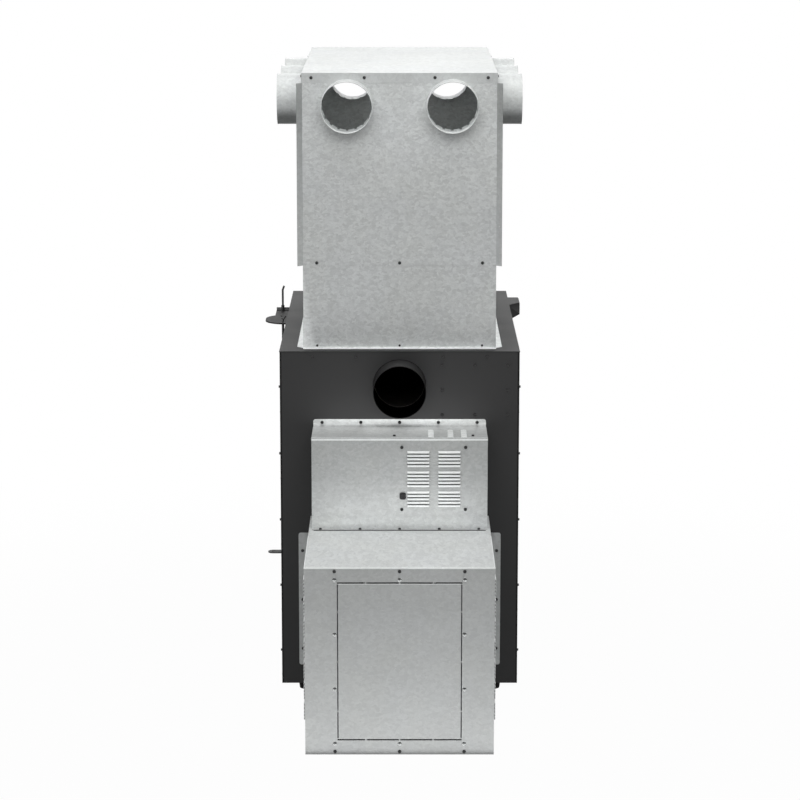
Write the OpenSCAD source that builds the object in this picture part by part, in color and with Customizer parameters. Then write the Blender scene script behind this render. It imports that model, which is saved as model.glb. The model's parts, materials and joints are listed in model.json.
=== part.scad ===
// Wood-fired warm-air furnace: a painted casing on four feet, a welded firebox with a heat
// exchanger, a galvanised plenum with ten round duct collars, and a blower box at the rear.
// The origin is on the floor, in the plane of the casing's rear face, midway between its sides.
// +Y points to the loading-door side, +Z is up. All sizes are in millimetres.

/* [Casing] */
// Width of the casing
casing_w = 722; // [700:1:780]
// Depth of the casing, rear face to front face
casing_d = 1142; // [1130:1:1200]
// Height of the casing above its feet
casing_h = 1037; // [1030:1:1080]
// Thickness of the casing sheet
casing_t = 1.6; // [1.2:0.1:2.4]
// Thickness of the top panel
top_t = 3; // [2:0.5:4]
// Height of the feet
foot_h = 22; // [18:1:36]
// Radius of a foot at the floor
foot_r = 22; // [16:1:26]
// Outer radius of the casing's vertical bends
bend_r = 4; // [3:0.5:8]
// Depth of the returns that the side panels are screwed to
return_d = 26; // [22:1:40]

/* [Plenum] */
// Width of the plenum
plenum_w = 583; // [560:1:620]
// Distance from the casing's rear face to the plenum's
plenum_back = 54; // [40:1:70]
// Distance from the casing's front face to the plenum's
plenum_front = 51; // [40:1:70]
// Height of the plenum's upper box above its lower one
plenum_upper_h = 577; // [450:1:700]
// Height of the plenum's lower box
plenum_lower_h = 252; // [180:1:320]
// Thickness of the galvanised sheet
sheet_t = 0.9; // [0.6:0.1:1.6]
// Width of the flange round the plenum's foot
plenum_flange = 18.5; // [14:0.5:26]
// Height of the lid's skirt
lid_skirt = 30; // [20:1:45]
// How far a standing corner seam reaches out, measured along X
seam_reach = 14.5; // [8:0.5:20]

/* [Duct collars] */
// Outer diameter of a duct collar
collar_d = 152.4; // [125:0.1:180]
// Length of a duct collar outside its panel
collar_len = 80; // [50:1:110]
// Distance between the two collars of an end
end_pitch = 314; // [260:1:340]
// Distance between neighbouring collars of a side
side_pitch = 305; // [240:1:330]
// Distance from the plenum's top down to the collars' axes
collar_drop = 96; // [95:1:130]
// Length of the fixing tabs inside the plenum
tab_len = 14; // [8:1:20]
// Height and width of the stop bead round a collar
bead = 2.5; // [1.5:0.5:4]

/* [Flue] */
// Inner diameter of the flue collar
flue_d = 155; // [125:0.1:160]
// Wall of the flue collar
flue_wall = 2; // [2:0.1:4]
// How far the flue collar stands out of the casing
flue_len = 101; // [80:1:160]
// Distance from the casing's top down to the flue's axis
flue_drop = 106; // [106:1:116]

/* [Firebox] */
// Outer width of the firebox
firebox_w = 500; // [480:1:520]
// Distance from the casing's rear face to the firebox
firebox_back = 150; // [130:1:200]
// Distance from the firebox's front to the casing's front
firebox_front = 132; // [120:1:150]
// Height of the firebox's floor above the room's floor
firebox_floor = 290; // [280:1:310]
// Outer height of the firebox
firebox_h = 510; // [500:1:530]
// Firebox plate
plate_t = 5; // [4:0.5:8]
// Clear width of the loading opening
mouth_w = 370; // [330:1:376]
// Clear height of the loading opening
mouth_h = 280; // [240:1:284]
// Height of the loading opening's lower edge above the firebox floor
mouth_sill = 110; // [100:1:116]
// Thickness of the fire bricks
brick_t = 32; // [25:1:38]
// Height of one course of fire bricks
brick_h = 140; // [120:1:150]
// Joint between fire bricks
brick_gap = 0.8; // [0.5:0.1:0.9]
// Diameter of the secondary air tubes
tube_d = 26; // [20:1:32]
// Number of secondary air tubes
tube_n = 4; // [3:1:5]

/* [Heat exchanger] */
// Width of the heat exchanger
exchanger_w = 340; // [300:1:420]
// Height of the heat exchanger
exchanger_h = 180; // [172:1:186]
// Distance from the casing's rear face to the heat exchanger
exchanger_back = 60; // [50:1:80]
// Distance from the casing's front face to the heat exchanger's end
exchanger_front = 152; // [140:1:180]
// Heat exchanger plate
exchanger_t = 4; // [3:0.5:5]

/* [Loading door] */
// How far the door reaches past the clear opening on each side
door_lap = 37; // [34:1:42]
// Thickness of the door
door_t = 25; // [22:1:32]
// Width of the frame between the door's edge and its window
door_rail = 70; // [66:1:90]
// Thickness of the glass
glass_t = 5; // [4:0.5:6]
// Width of the gasket rope
gasket_w = 10; // [8:0.5:12]
// How far the gasket stands out of its groove
gasket_proud = 2.7; // [2:0.1:3]
// Radius of the hinge pins
hinge_r = 5; // [4:0.5:6]
// Length of the handle, from its spindle to its lower end
handle_len = 140; // [110:1:170]
// Radius of the handle's spindle
spindle_r = 6; // [5:0.5:7]

/* [Ash drawer] */
// Outer width of the ash drawer
ash_w = 308; // [280:1:320]
// Height of the ash drawer's tray
ash_h = 120; // [90:1:140]
// Length of the ash drawer's tray
ash_len = 800; // [700:1:820]
// Thickness of the ash drawer's sheet
ash_t = 2; // [1.5:0.5:3]

/* [Blower box] */
// Width of the blower box
blower_w = 539; // [520:1:560]
// How far the blower box stands out behind the casing
blower_d = 621; // [600:1:660]
// Height of the blower box
blower_h = 551; // [545:1:570]
// Width of the mounting flanges beside the blower box
blower_flange = 38; // [30:1:44]
// Height of the mounting flanges
blower_flange_h = 417; // [380:1:440]
// Width of the knock-out in the rear panel
knockout_w = 355; // [300:1:370]
// Height of the knock-out
knockout_h = 467; // [420:1:470]
// Distance between the bridges at the knock-out's top and bottom
bridge_dx = 96; // [60:1:110]
// Distance between the bridges at the knock-out's sides
bridge_dz = 147; // [90:1:160]
// Height of the knock-out's lower edge
knockout_low = 42; // [30:1:50]
// Width of the slots round the knock-out
slot_w = 4; // [3:0.5:5]
// Radius of the blower wheel
wheel_r = 105; // [90:1:112]
// Width of the blower wheel
wheel_w = 170; // [150:1:176]
// Number of blades on the wheel
blade_n = 28; // [20:1:36]
// Radius of the motor
motor_r = 62; // [50:1:70]
// Length of the motor
motor_len = 115; // [90:1:120]
// Radius of the motor shaft
shaft_r = 6.35; // [5:0.05:8]

/* [Control box] */
// Width of the control box
control_w = 523; // [500:1:530]
// Depth of the control box
control_d = 163; // [150:1:180]
// Height of the control box
control_h = 276; // [260:1:284]
// Height of its upper mounting flange
control_flange = 24; // [18:1:26]
// Depth of its lower flange
control_foot = 22.5; // [16:0.5:26]
// Length of a louvre
louvre_len = 67; // [60:0.5:74]
// Distance between louvres
louvre_pitch = 10.4; // [9:0.1:11]
// Number of louvres in a group
louvre_n = 5; // [3:1:5]
// How far a louvre stands out
louvre_out = 4; // [3:0.5:6]
// Width of the switch bezel
switch_w = 19; // [16:0.5:24]
// Height of the switch bezel
switch_h = 21; // [18:0.5:26]
// Travel of the switch button
button_travel = 2.5; // [1.5:0.1:3]

/* [Side fittings] */
// Radius of the tool rest's round ends
rest_r = 68; // [60:1:80]
// Length of the straight part of the tool rest's edge
rest_len = 30; // [10:1:50]
// Thickness of the tool rest
rest_t = 4; // [3:0.5:6]
// Radius of the poker's rod
poker_r = 4.2; // [3:0.1:5]
// Length of the poker below the tool rest
poker_len = 600; // [400:1:700]
// How far the damper motor's cover stands out
cover_out = 41; // [36:1:60]
// Length of the damper motor's cover
cover_len = 162; // [150:1:180]
// How much shorter the cover is at its outer side
cover_skew = 58; // [30:1:64]
// Height of the damper motor's cover
cover_h = 41; // [38:1:50]
// Inner depth of the combustion air duct
air_duct_d = 46; // [40:1:48]

/* [Fasteners and fits] */
// Radius of a screw's thread
screw_r = 1.9; // [1.5:0.1:2.4]
// Radius of a screw's washer face
washer_r = 4.9; // [3.6:0.1:5.5]
// Thickness of a screw's washer face
washer_t = 0.8; // [0.5:0.1:1.2]
// Radius of a screw's hexagon
hex_r = 3.9; // [2.8:0.1:4.5]
// Height of a screw's hexagon
hex_h = 3.2; // [1.5:0.1:4]
// Radial clearance of a screw in its hole
screw_fit = 0.15; // [0.1:0.05:0.3]
// Clearance round a fixed piece that passes through a panel
pass_fit = 1; // [0.6:0.1:2]
// Radial running clearance of a hinge pin or shaft
run_fit = 0.1; // [0.05:0.01:0.1]
// Clearance of a piece that rests on another and moves away from it
rest_fit = 0.3; // [0.1:0.1:0.5]
// Clearance of a sliding or swinging piece
slide_fit = 0.5; // [0.3:0.1:0.8]

/* [Hidden] */
$fn = 48;
cut = 2;  // how far a cutter runs past a face
casing_x = casing_w / 2;
in_x = casing_x - casing_t;
casing_top = foot_h + casing_h;
skin_top = casing_top - top_t;
skin_low = foot_h + casing_t;
flue_z = casing_top - flue_drop;
flue_in = flue_d / 2;
flue_out = flue_in + flue_wall;

// Plenum
plenum_x = plenum_w / 2;
plenum_y0 = plenum_back;
plenum_y1 = casing_d - plenum_front;
plenum_mid = (plenum_y0 + plenum_y1) / 2;
lower_x = plenum_x - sheet_t;
lower_y0 = plenum_y0 + sheet_t;
lower_y1 = plenum_y1 - sheet_t;
seam_z = casing_top + plenum_lower_h;
plenum_top = seam_z + plenum_upper_h;
lap = 12;  // how far the upper box laps over the lower one
nest_fit = 0.2;  // clearance where one sheet slips inside another
collar_z = plenum_top - collar_drop;
collar_out = collar_d / 2;
collar_in = collar_out - sheet_t;
end_x = [-end_pitch / 2, end_pitch / 2];
side_y = [plenum_mid - side_pitch, plenum_mid, plenum_mid + side_pitch];
upstand_h = 20;  // upstand of the casing's top round the air opening

// Firebox and what stands on it
firebox_x = firebox_w / 2;
firebox_y0 = firebox_back;
firebox_y1 = casing_d - firebox_front;
firebox_z0 = firebox_floor;
firebox_z1 = firebox_floor + firebox_h;
room_x = firebox_x - plate_t;
room_y0 = firebox_y0 + plate_t;
room_y1 = firebox_y1 - plate_t;
room_z0 = firebox_z0 + plate_t;
mouth_x = mouth_w / 2;
mouth_z0 = firebox_z0 + mouth_sill;
mouth_z1 = mouth_z0 + mouth_h;
neck_out = 8;  // how far the neck's rim stands out of the casing
rim_y = casing_d + neck_out;
leg_w = 50;
grate_x = 110;  // half width of the ash opening in the firebox floor
grate_y = [casing_d - 742, casing_d - 342];
grate_lap = 14;
grate_t = 15;
grate_slot = 12;
grate_pitch = 34;
tube_r = tube_d / 2;
tube_z = firebox_z1 - 150;
tube_y0 = 330;
tube_pitch = 150;
baffle_t = 16;
uptake_x = 110;
exchanger_y1 = casing_d - exchanger_front;
uptake_y = [exchanger_y1 - 140, exchanger_y1 - 20];
weld_gap = 0.3;  // plates of the firebox and the heat exchanger stand this far apart

exchanger_x = exchanger_w / 2;
exchanger_z0 = flue_z - exchanger_h / 2;
exchanger_z1 = flue_z + exchanger_h / 2;

// Loading door
door_x = mouth_x + door_lap;
door_z0 = mouth_z0 - door_lap;
door_z1 = mouth_z1 + door_lap;
door_y0 = rim_y + gasket_proud + rest_fit;
door_y1 = door_y0 + door_t;
groove = 7;  // depth of the gasket groove
window_x = door_x - door_rail;
window_z0 = door_z0 + door_rail;
window_z1 = door_z1 - door_rail;
glass_lap = 12;
hinge_x = door_x + 28;
hinge_y = door_y0 + door_t / 2;
hinge_z = [mouth_z0 + 45, mouth_z1 - 45];
lug_h = 40;
lug_r = hinge_r + 5;
ear_t = 8;
spindle_x = -(mouth_x + plate_t + 15);
spindle_z = (mouth_z0 + mouth_z1) / 2;
cam_t = 6;
cam_y = casing_d + 3;
cam_len = 35;
grip_r = 12;
grip_len = 95;
bar_y = door_y1 + grip_r + 6;

// Ash drawer
chamber_t = 3;
ash_x = ash_w / 2;
chamber_x = ash_x + slide_fit + chamber_t;
chamber_z0 = firebox_z0 - 180;
chamber_y0 = casing_d - ash_len - 22;
ash_z0 = chamber_z0 + chamber_t + slide_fit;
ash_y0 = casing_d - ash_len;
ash_front_t = 8;
ash_lap = 18;
bail_r = 6;
bail_x = 60;
bail_y = casing_d + slide_fit + ash_front_t + 30;

// Blower box
box_x = blower_w / 2;
box_t = 1;
back_y = -blower_d;
box_top = blower_h - box_t;
frame_w = 20;
flange_z0 = 81;
flange_r = 7;
shaft_y = -290;
shaft_z = 235;
scroll_x = wheel_w / 2 + 14;
scroll_t = 1.5;
scroll_start = wheel_r + 15;
scroll_end = wheel_r + 72;
inlet_r = wheel_r - 12;
outlet_angle = 40;
outlet_lip = 12;
outlet_z0 = shaft_z + scroll_start * sin(outlet_angle);
outlet_z1 = shaft_z + scroll_end;
motor_x0 = scroll_x + 14;
band_t = 3;
arm_n = 3;
filter_x = 200;
filter_t = 25;
filter_h = 480;
filter_y = back_y + 45;
channel_t = 1.2;

// Control box
control_x = control_w / 2;
control_y = -control_d;
control_z0 = blower_h;
control_z1 = control_z0 + control_h;
louvre_x = [55.7, 147.8];
louvre_top = control_z1 - 46;
group_pitch = louvre_n * louvre_pitch + 9;
group_n = 3;
side_louvre_top = blower_h - 45;
side_group_n = 7;
side_louvre_y = back_y + 52;
louvre_h = 7;
switch_x = 9.5;
switch_z = control_z0 + 100.3;
bezel_t = 3;
button_w = switch_w - 8;
button_h = switch_h - 8;
button_out = 3;
board_screw_x = [6.5, 196];
board_screw_z = [control_z0 + 59, control_z1 - 28];
standoff = 12;

// Side fittings
rest_z = casing_top - 32.5;
rest_y = casing_d - 392;
rest_far = casing_d - 197;
rest_x = casing_x + 49;
poker_x = -(casing_x + 27.5);
poker_y = rest_far - 25;
tab_z = 352;
tab_y = 343;
tab_hole_x = -(casing_x + 39);
tab_hole_r = 5.75;
tab_r = 17;
tab_t = 3.5;
cover_y0 = casing_d - 220;
cover_z1 = casing_top - 12.6;
cover_z0 = cover_z1 - cover_h;
cover_slope = 12;
cover_t = 1.5;
duct_mid_y = cover_y0 + 90;
duct_gap = 16;  // clearance between the duct and the firebox or the casing
duct_t = 1.5;
duct_x0 = firebox_x + duct_gap;
air_duct_w = in_x - firebox_x - 2 * duct_gap - 2 * duct_t;
air_slot_y = air_duct_d / 2 - 3;
duct_z0 = firebox_z0 + 40;
duct_z1 = cover_z1 - 1;
damper_z = cover_z0 + 15;
damper_r = 4;
damper_t = 2;
servo_x = [casing_x, casing_x + 26];

// Screw positions
rear_pitch = 131.5;
patch_x = 227;
patch_drop = 119;
patch_dx = 98.5;
patch_dz = 76;
rear_z = skin_top - 15;
patch_z = casing_top - patch_drop;
rear_points = [for (i = [-2, -1, 1, 2]) [i * rear_pitch, 0, rear_z]];
patch_points = [for (i = [-1:1], j = [-1:1]) if (i != 0 || j != 0)
    [patch_x + i * patch_dx, 0, patch_z + j * patch_dz]];
edge_in = 15;
edge_drop = 111;
edge_pitch = 206;
edge_rows = [0:4];
edge_y = [edge_in, casing_d - edge_in];
top_edge_y = [for (i = [0:4]) 53 + (casing_d - 292) / 4 * i];
top_edge_z = skin_top - 7;
blower_side_z = [for (i = [0:2]) 442 - 154.5 * i];
flange_points = [for (s = [-1, 1], z = blower_side_z) [s * (box_x + blower_flange - 12), -box_t, z]];
back_x = knockout_w / 2 + 7;
back_points = [for (x = [-back_x, 0, back_x], z = [9, blower_h - 10.5]) [x, back_y, z]];
lid_y = [back_y + 50, back_y / 2 + 20, -14];
lid_z = blower_h - 8;
control_top_points = [for (i = [-2:2]) [i * 117, -box_t, control_z1 + 14]];
control_lid_points = [for (x = [-15.8, 218.3]) [x, control_y + 31.5, control_z1]];
control_foot_points = [for (i = [-2:2]) [i * 118, control_y - control_foot / 2, control_z0 + box_t]];
board_points = [for (x = board_screw_x, z = board_screw_z) [x, control_y, z]];
lid_end_x = [-263, -105, 105, 263];
lid_side_y = [plenum_y0 + 60, plenum_mid - 150, plenum_mid + 150, plenum_y1 - 60];
seam_end_x = [-249, 0, 249];
seam_side_y = [plenum_y0 + 44, plenum_mid, plenum_y1 - 44];
lid_screw_z = plenum_top - 14;
seam_screw_z = seam_z + 8;
foot_screw_z = casing_top + 8;

// A block between two values on each axis
module block(x, y, z) {
    translate([x[0], y[0], z[0]])
        cube([x[1] - x[0], y[1] - y[0], z[1] - z[0]]);
}

// Turns +Z to the outward direction of a side
module aim(side) {
    turn = side == "rear" ? [90, 0, 0]
         : side == "front" ? [-90, 0, 0]
         : side == "left" ? [0, -90, 0]
         : side == "right" ? [0, 90, 0]
         : [0, 0, 0];
    rotate(turn) children();
}

// Puts a piece at each point, aimed at a side
module at_points(points, side) {
    for (p = points)
        translate(p) aim(side) children();
}

// A hexagon-head sheet screw with its washer face on the sheet
module screw(reach) {
    cylinder(r = washer_r, h = washer_t);
    translate([0, 0, washer_t]) cylinder(r = hex_r, h = hex_h, $fn = 6);
    rod([0, 0, -reach], screw_r, reach + washer_t / 2);
}

// A small dome-head rivet
module rivet(reach) {
    cylinder(r = washer_r * 0.7, h = washer_t);
    rod([0, 0, -reach], screw_r * 0.8, reach + washer_t / 2);
}

module screw_hole(depth) {
    rod([0, 0, -depth], screw_r + screw_fit, depth + cut);
}

// A round bar that starts at a point and runs along Z
module rod(place, r, h) {
    translate(place) cylinder(r = r, h = h);
}

// A tube along Z
module pipe(outer, inner, length) {
    difference() {
        cylinder(r = outer, h = length);
        rod([0, 0, -cut], inner, length + 2 * cut);
    }
}

// A rectangle with round corners, centred
module round_rect(w, h, r) {
    square([w - 2 * r, h], center = true);
    square([w, h - 2 * r], center = true);
    for (sx = [-1, 1], sy = [-1, 1])
        translate([sx * (w / 2 - r), sy * (h / 2 - r)]) circle(r = r);
}

// Points on the casing's sides, for screws and their holes
function edge_points(s, drop) =
    [for (y = edge_y, i = edge_rows) [s * casing_x, y, casing_top - drop - i * edge_pitch]];
function top_edge_points(s) = [for (y = top_edge_y) [s * casing_x, y, top_edge_z]];
function side_name(s) = s < 0 ? "left" : "right";
small_drop = edge_drop + 78;

// Rear or front sheet of the casing, seen from above, with bent returns
module folded_sheet_2d() {
    square_w = in_x - bend_r;
    translate([-square_w, 0]) square([2 * square_w, casing_t]);
    for (s = [-1, 1]) {
        translate([s * (in_x - casing_t / 2) - casing_t / 2, bend_r])
            square([casing_t, return_d - bend_r]);
        translate([s * square_w, bend_r])
            intersection() {
                difference() {
                    circle(r = bend_r);
                    circle(r = bend_r - casing_t);
                }
                translate([s < 0 ? -bend_r : 0, -bend_r]) square(bend_r);
            }
    }
}

module folded_sheet() {
    translate([0, 0, skin_low])
        linear_extrude(skin_top - skin_low) folded_sheet_2d();
}

module casing_side_holes(depth) {
    for (s = [-1, 1]) {
        at_points(edge_points(s, edge_drop), side_name(s)) screw_hole(depth);
        at_points(edge_points(s, small_drop), side_name(s)) screw_hole(depth);
        at_points(top_edge_points(s), side_name(s)) screw_hole(depth);
    }
}

// ---- Casing ----

module base_pan() {
    lip = 25;
    lip_y = [return_d + cut, casing_d - return_d - cut];
    lip_x = in_x - bend_r - cut;
    color("dimgray") {
        block([-casing_x, casing_x], [0, casing_d], [foot_h, skin_low]);
        for (end = [0, 1])
            block(wall([-in_x, in_x], end, casing_t), lip_y, [foot_h, skin_low + lip]);
        block([-lip_x, lip_x], [casing_t, 2 * casing_t], [foot_h, skin_low + lip]);
        block([-lip_x, lip_x], [casing_d - 2 * casing_t, casing_d - casing_t],
            [foot_h, skin_low + lip]);
    }
}

module levelling_feet() {
    color("black")
        for (x = [-1, 1] * (casing_x - 75), y = [30, casing_d - 30])
            translate([x, y, 0]) cylinder(r1 = foot_r, r2 = foot_r + 3, h = foot_h);
}

module side_panel(s) {
    difference() {
        block(s < 0 ? [-casing_x, -in_x] : [in_x, casing_x], [0, casing_d], [skin_low, skin_top]);
        casing_side_holes(casing_t + cut);
        if (s > 0) {
            air_slot();
            translate([in_x - cut, duct_mid_y, damper_z]) aim("right")
                cylinder(r = damper_r + pass_fit, h = casing_t + 2 * cut);
        }
    }
}

// Inlet of the combustion air, under the damper motor's cover
module air_slot() {
    block([in_x - cut, casing_x + cut], [duct_mid_y - air_slot_y, duct_mid_y + air_slot_y],
        [cover_z1 - 12, cover_z1 - 4]);
}

module left_side_panel() {
    color("dimgray") side_panel(-1);
}

module right_side_panel() {
    color("dimgray") side_panel(1);
}

module rear_panel() {
    color("dimgray")
        difference() {
            folded_sheet();
            casing_side_holes(2 * casing_t + cut);
            at_points(concat(rear_points, patch_points), "rear") screw_hole(casing_t + cut);
            at_points(flange_points, "rear") screw_hole(casing_t + box_t + cut);
            at_points(control_top_points, "rear") screw_hole(casing_t + box_t + cut);
            translate([0, casing_t + cut, flue_z]) aim("rear")
                cylinder(r = flue_out + pass_fit, h = casing_t + 2 * cut);
            block([-scroll_x, scroll_x], [-cut, casing_t + cut], [outlet_z0, outlet_z1]);
        }
}

// Stiffening plate behind the eight screws beside the flue
module rear_inner_plate() {
    margin = 12;
    color("silver")
        difference() {
            block([patch_x - patch_dx - margin, patch_x + patch_dx + margin],
                [casing_t, casing_t + 2],
                [patch_z - patch_dz - margin, patch_z + patch_dz + margin]);
            at_points(patch_points, "rear") screw_hole(casing_t + 2 + cut);
        }
}

module front_panel() {
    color("dimgray")
        difference() {
            translate([0, casing_d, 0]) mirror([0, 1, 0]) folded_sheet();
            casing_side_holes(2 * casing_t + cut);
            block([-mouth_x - plate_t - slide_fit, mouth_x + plate_t + slide_fit],
                [casing_d - casing_t - cut, casing_d + cut],
                [mouth_z0 - plate_t - slide_fit, mouth_z1 + plate_t + slide_fit]);
            block([-chamber_x + chamber_t, chamber_x - chamber_t],
                [casing_d - casing_t - cut, casing_d + cut],
                [chamber_z0 + chamber_t, firebox_z0 - chamber_t]);
        }
}

module top_panel() {
    over = 1;
    up_x = lower_x - sheet_t - nest_fit;
    up_y0 = lower_y0 + sheet_t + nest_fit;
    up_y1 = lower_y1 - sheet_t - nest_fit;
    drop_y = [return_d + 2 * cut, casing_d - return_d - 2 * cut];
    drop_h = 10;
    color("dimgray")
        difference() {
            union() {
                block([-casing_x - over, casing_x + over], [-over, casing_d + over],
                    [skin_top, casing_top]);
                block([-up_x, up_x], [up_y0, up_y1], [skin_top, casing_top + upstand_h]);
                for (end = [0, 1])
                    block(wall([-in_x, in_x], end, casing_t), drop_y, [skin_top - drop_h, casing_top]);
            }
            block([-up_x + casing_t, up_x - casing_t], [up_y0 + casing_t, up_y1 - casing_t],
                [skin_top - cut, casing_top + upstand_h + cut]);
            casing_side_holes(2 * casing_t + cut);
            plenum_ring(foot_screw_z, seam_end_x, seam_side_y) screw_hole(4 * sheet_t + cut);
        }
}

module casing_screws() {
    color("black") {
        at_points(concat(rear_points, patch_points), "rear") screw(casing_t);
        for (s = [-1, 1]) {
            at_points(edge_points(s, edge_drop), side_name(s)) screw(2 * casing_t);
            at_points(edge_points(s, small_drop), side_name(s)) rivet(2 * casing_t);
            at_points(top_edge_points(s), side_name(s)) rivet(2 * casing_t);
        }
    }
}

// ---- Fire side ----

// The wall at the low end (0) or the high end (1) of a range, and what is left between both walls
function wall(v, end, t) = [v[end] - end * t, v[end] + (1 - end) * t];
function between(v, t) = [v[0] + t + weld_gap, v[1] - t - weld_gap];

// A box of six plates: floor and roof, then the sides, then the ends between them
module plate_box(x, y, z, t) {
    for (end = [0, 1]) {
        block(x, y, wall(z, end, t));
        block(wall(x, end, t), y, between(z, t));
        block(between(x, t), wall(y, end, t), between(z, t));
    }
}

// A saw cut beside a hole, so that the plate round it is made of straight strips
module strip_gap(x, y, z) {
    fit = weld_gap / 2;
    block(x < 0 ? [x - weld_gap, x] : [x, x + weld_gap], [y[0] - fit, y[1] + fit], [z[0] - fit, z[1] + fit]);
}

module firebox_shell() {
    roof_z = firebox_z0 - weld_gap;
    color("saddlebrown")
        difference() {
            union() {
                plate_box([-firebox_x, firebox_x], [firebox_y0, firebox_y1], [firebox_z0, firebox_z1],
                    plate_t);
                plate_box([-mouth_x - plate_t, mouth_x + plate_t], [firebox_y1 + weld_gap, rim_y],
                    [mouth_z0 - plate_t, mouth_z1 + plate_t], plate_t);
                plate_box([-chamber_x, chamber_x], [chamber_y0, casing_d - casing_t],
                    [chamber_z0, roof_z], chamber_t);
                for (end = [0, 1], y = [firebox_y0, firebox_y1 - leg_w])
                    block(wall([-firebox_x, firebox_x], end, leg_w), [y, y + leg_w],
                        [skin_low, roof_z]);
            }
            block([-mouth_x, mouth_x], [room_y1 - cut, rim_y + cut], [mouth_z0, mouth_z1]);
            block([-chamber_x + chamber_t, chamber_x - chamber_t],
                [chamber_y0 + chamber_t, casing_d + cut],
                [chamber_z0 + chamber_t, roof_z - chamber_t]);
            block([-grate_x, grate_x], grate_y, [chamber_z0 + 2 * chamber_t, room_z0 + cut]);
            block([-uptake_x + exchanger_t, uptake_x - exchanger_t],
                [uptake_y[0] + exchanger_t, uptake_y[1] - exchanger_t],
                [firebox_z1 - plate_t - cut, firebox_z1 + cut]);
            for (s = [-1, 1]) {
                strip_gap(s * mouth_x, [room_y1, firebox_y1], [room_z0, firebox_z1 - plate_t]);
                strip_gap(s * grate_x, [firebox_y0, firebox_y1], [firebox_z0, room_z0]);
                strip_gap(s * grate_x, [chamber_y0, casing_d], [roof_z - chamber_t, roof_z]);
                strip_gap(s * (uptake_x - exchanger_t), [firebox_y0, firebox_y1],
                    [firebox_z1 - plate_t, firebox_z1]);
            }
            for (i = [0:tube_n - 1])
                translate([-firebox_x - cut, tube_y0 + i * tube_pitch, tube_z]) aim("right")
                    cylinder(r = tube_r + run_fit, h = firebox_w + 2 * cut);
        }
}

// Bricks along the sides, the back and the floor, each with its joint
module fire_bricks() {
    side_n = 3;
    side_len = (room_y1 - room_y0) / side_n;
    back_w = room_x - brick_t;
    floor_x = [grate_x + grate_lap + brick_gap, room_x - brick_t];
    half = brick_gap / 2;
    color("burlywood") {
        for (s = [-1, 1], i = [0:side_n - 1], c = [0, 1])
            block(s < 0 ? [-room_x, -room_x + brick_t - brick_gap]
                : [room_x - brick_t + brick_gap, room_x],
                [room_y0 + i * side_len + half, room_y0 + (i + 1) * side_len - half],
                [room_z0 + c * brick_h, room_z0 + (c + 1) * brick_h - brick_gap]);
        for (s = [-1, 0], c = [0, 1])
            block([s * back_w + half, (s + 1) * back_w - half], [room_y0, room_y0 + brick_t],
                [room_z0 + c * brick_h, room_z0 + (c + 1) * brick_h - brick_gap]);
        for (s = [-1, 1], i = [0:side_n - 1])
            block(s < 0 ? [-floor_x[1], -floor_x[0]] : floor_x,
                [max(room_y0 + brick_t + brick_gap, room_y0 + i * side_len + half),
                room_y0 + (i + 1) * side_len - half],
                [room_z0, room_z0 + brick_t]);
        block([-grate_x - grate_lap, grate_x + grate_lap],
            [room_y0 + brick_t + brick_gap, grate_y[0] - grate_lap - brick_gap],
            [room_z0, room_z0 + brick_t]);
        block([-grate_x - grate_lap, grate_x + grate_lap],
            [grate_y[1] + grate_lap + brick_gap, room_y1 - half],
            [room_z0, room_z0 + brick_t]);
    }
}

module ash_grate() {
    slots = floor((grate_y[1] - grate_y[0]) / grate_pitch) - 1;
    color("darkslategray")
        difference() {
            block([-grate_x - grate_lap, grate_x + grate_lap],
                [grate_y[0] - grate_lap, grate_y[1] + grate_lap],
                [room_z0, room_z0 + grate_t]);
            for (i = [0:slots])
                block([-grate_x + 10, grate_x - 10],
                    [grate_y[0] + 12 + i * grate_pitch, grate_y[0] + 12 + grate_slot + i * grate_pitch],
                    [room_z0 - cut, room_z0 + grate_t + cut]);
        }
}

module secondary_air_tubes() {
    wall = 2.5;
    color("slategray")
        for (i = [0:tube_n - 1])
            translate([-firebox_x - 1, tube_y0 + i * tube_pitch, tube_z]) aim("right")
                pipe(tube_r, tube_r - wall, firebox_w + 2);
}

module baffle_board() {
    color("wheat")
        block([-room_x + cut, room_x - cut], [room_y0 + cut, uptake_y[0] - 20],
            [tube_z + tube_r, tube_z + tube_r + baffle_t]);
}

module heat_exchanger() {
    t = exchanger_t;
    uptake = [-uptake_x, uptake_x];
    low_z = [firebox_z1, exchanger_z0 - weld_gap];
    color("saddlebrown")
        difference() {
            union() {
                plate_box([-exchanger_x, exchanger_x], [exchanger_back, exchanger_y1],
                    [exchanger_z0, exchanger_z1], t);
                for (end = [0, 1]) {
                    block(wall(uptake, end, t), uptake_y, low_z);
                    block(between(uptake, t), wall(uptake_y, end, t), low_z);
                    block(wall([-exchanger_x, exchanger_x], end, 40),
                        [firebox_y0 + 20, firebox_y0 + 60], low_z);
                }
            }
            block([-uptake_x + t, uptake_x - t], [uptake_y[0] + t, uptake_y[1] - t],
                [firebox_z1 - cut, exchanger_z0 + t + cut]);
            for (s = [-1, 1])
                strip_gap(s * (uptake_x - t), [exchanger_back, exchanger_y1],
                    [exchanger_z0, exchanger_z0 + t]);
            translate([0, exchanger_back + t + cut, flue_z]) aim("rear")
                cylinder(r = flue_in - 1, h = t + 2 * cut);
        }
}

module flue_collar() {
    color("black")
        translate([0, exchanger_back, flue_z]) aim("rear")
            pipe(flue_out, flue_in, exchanger_back + flue_len);
}

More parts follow.
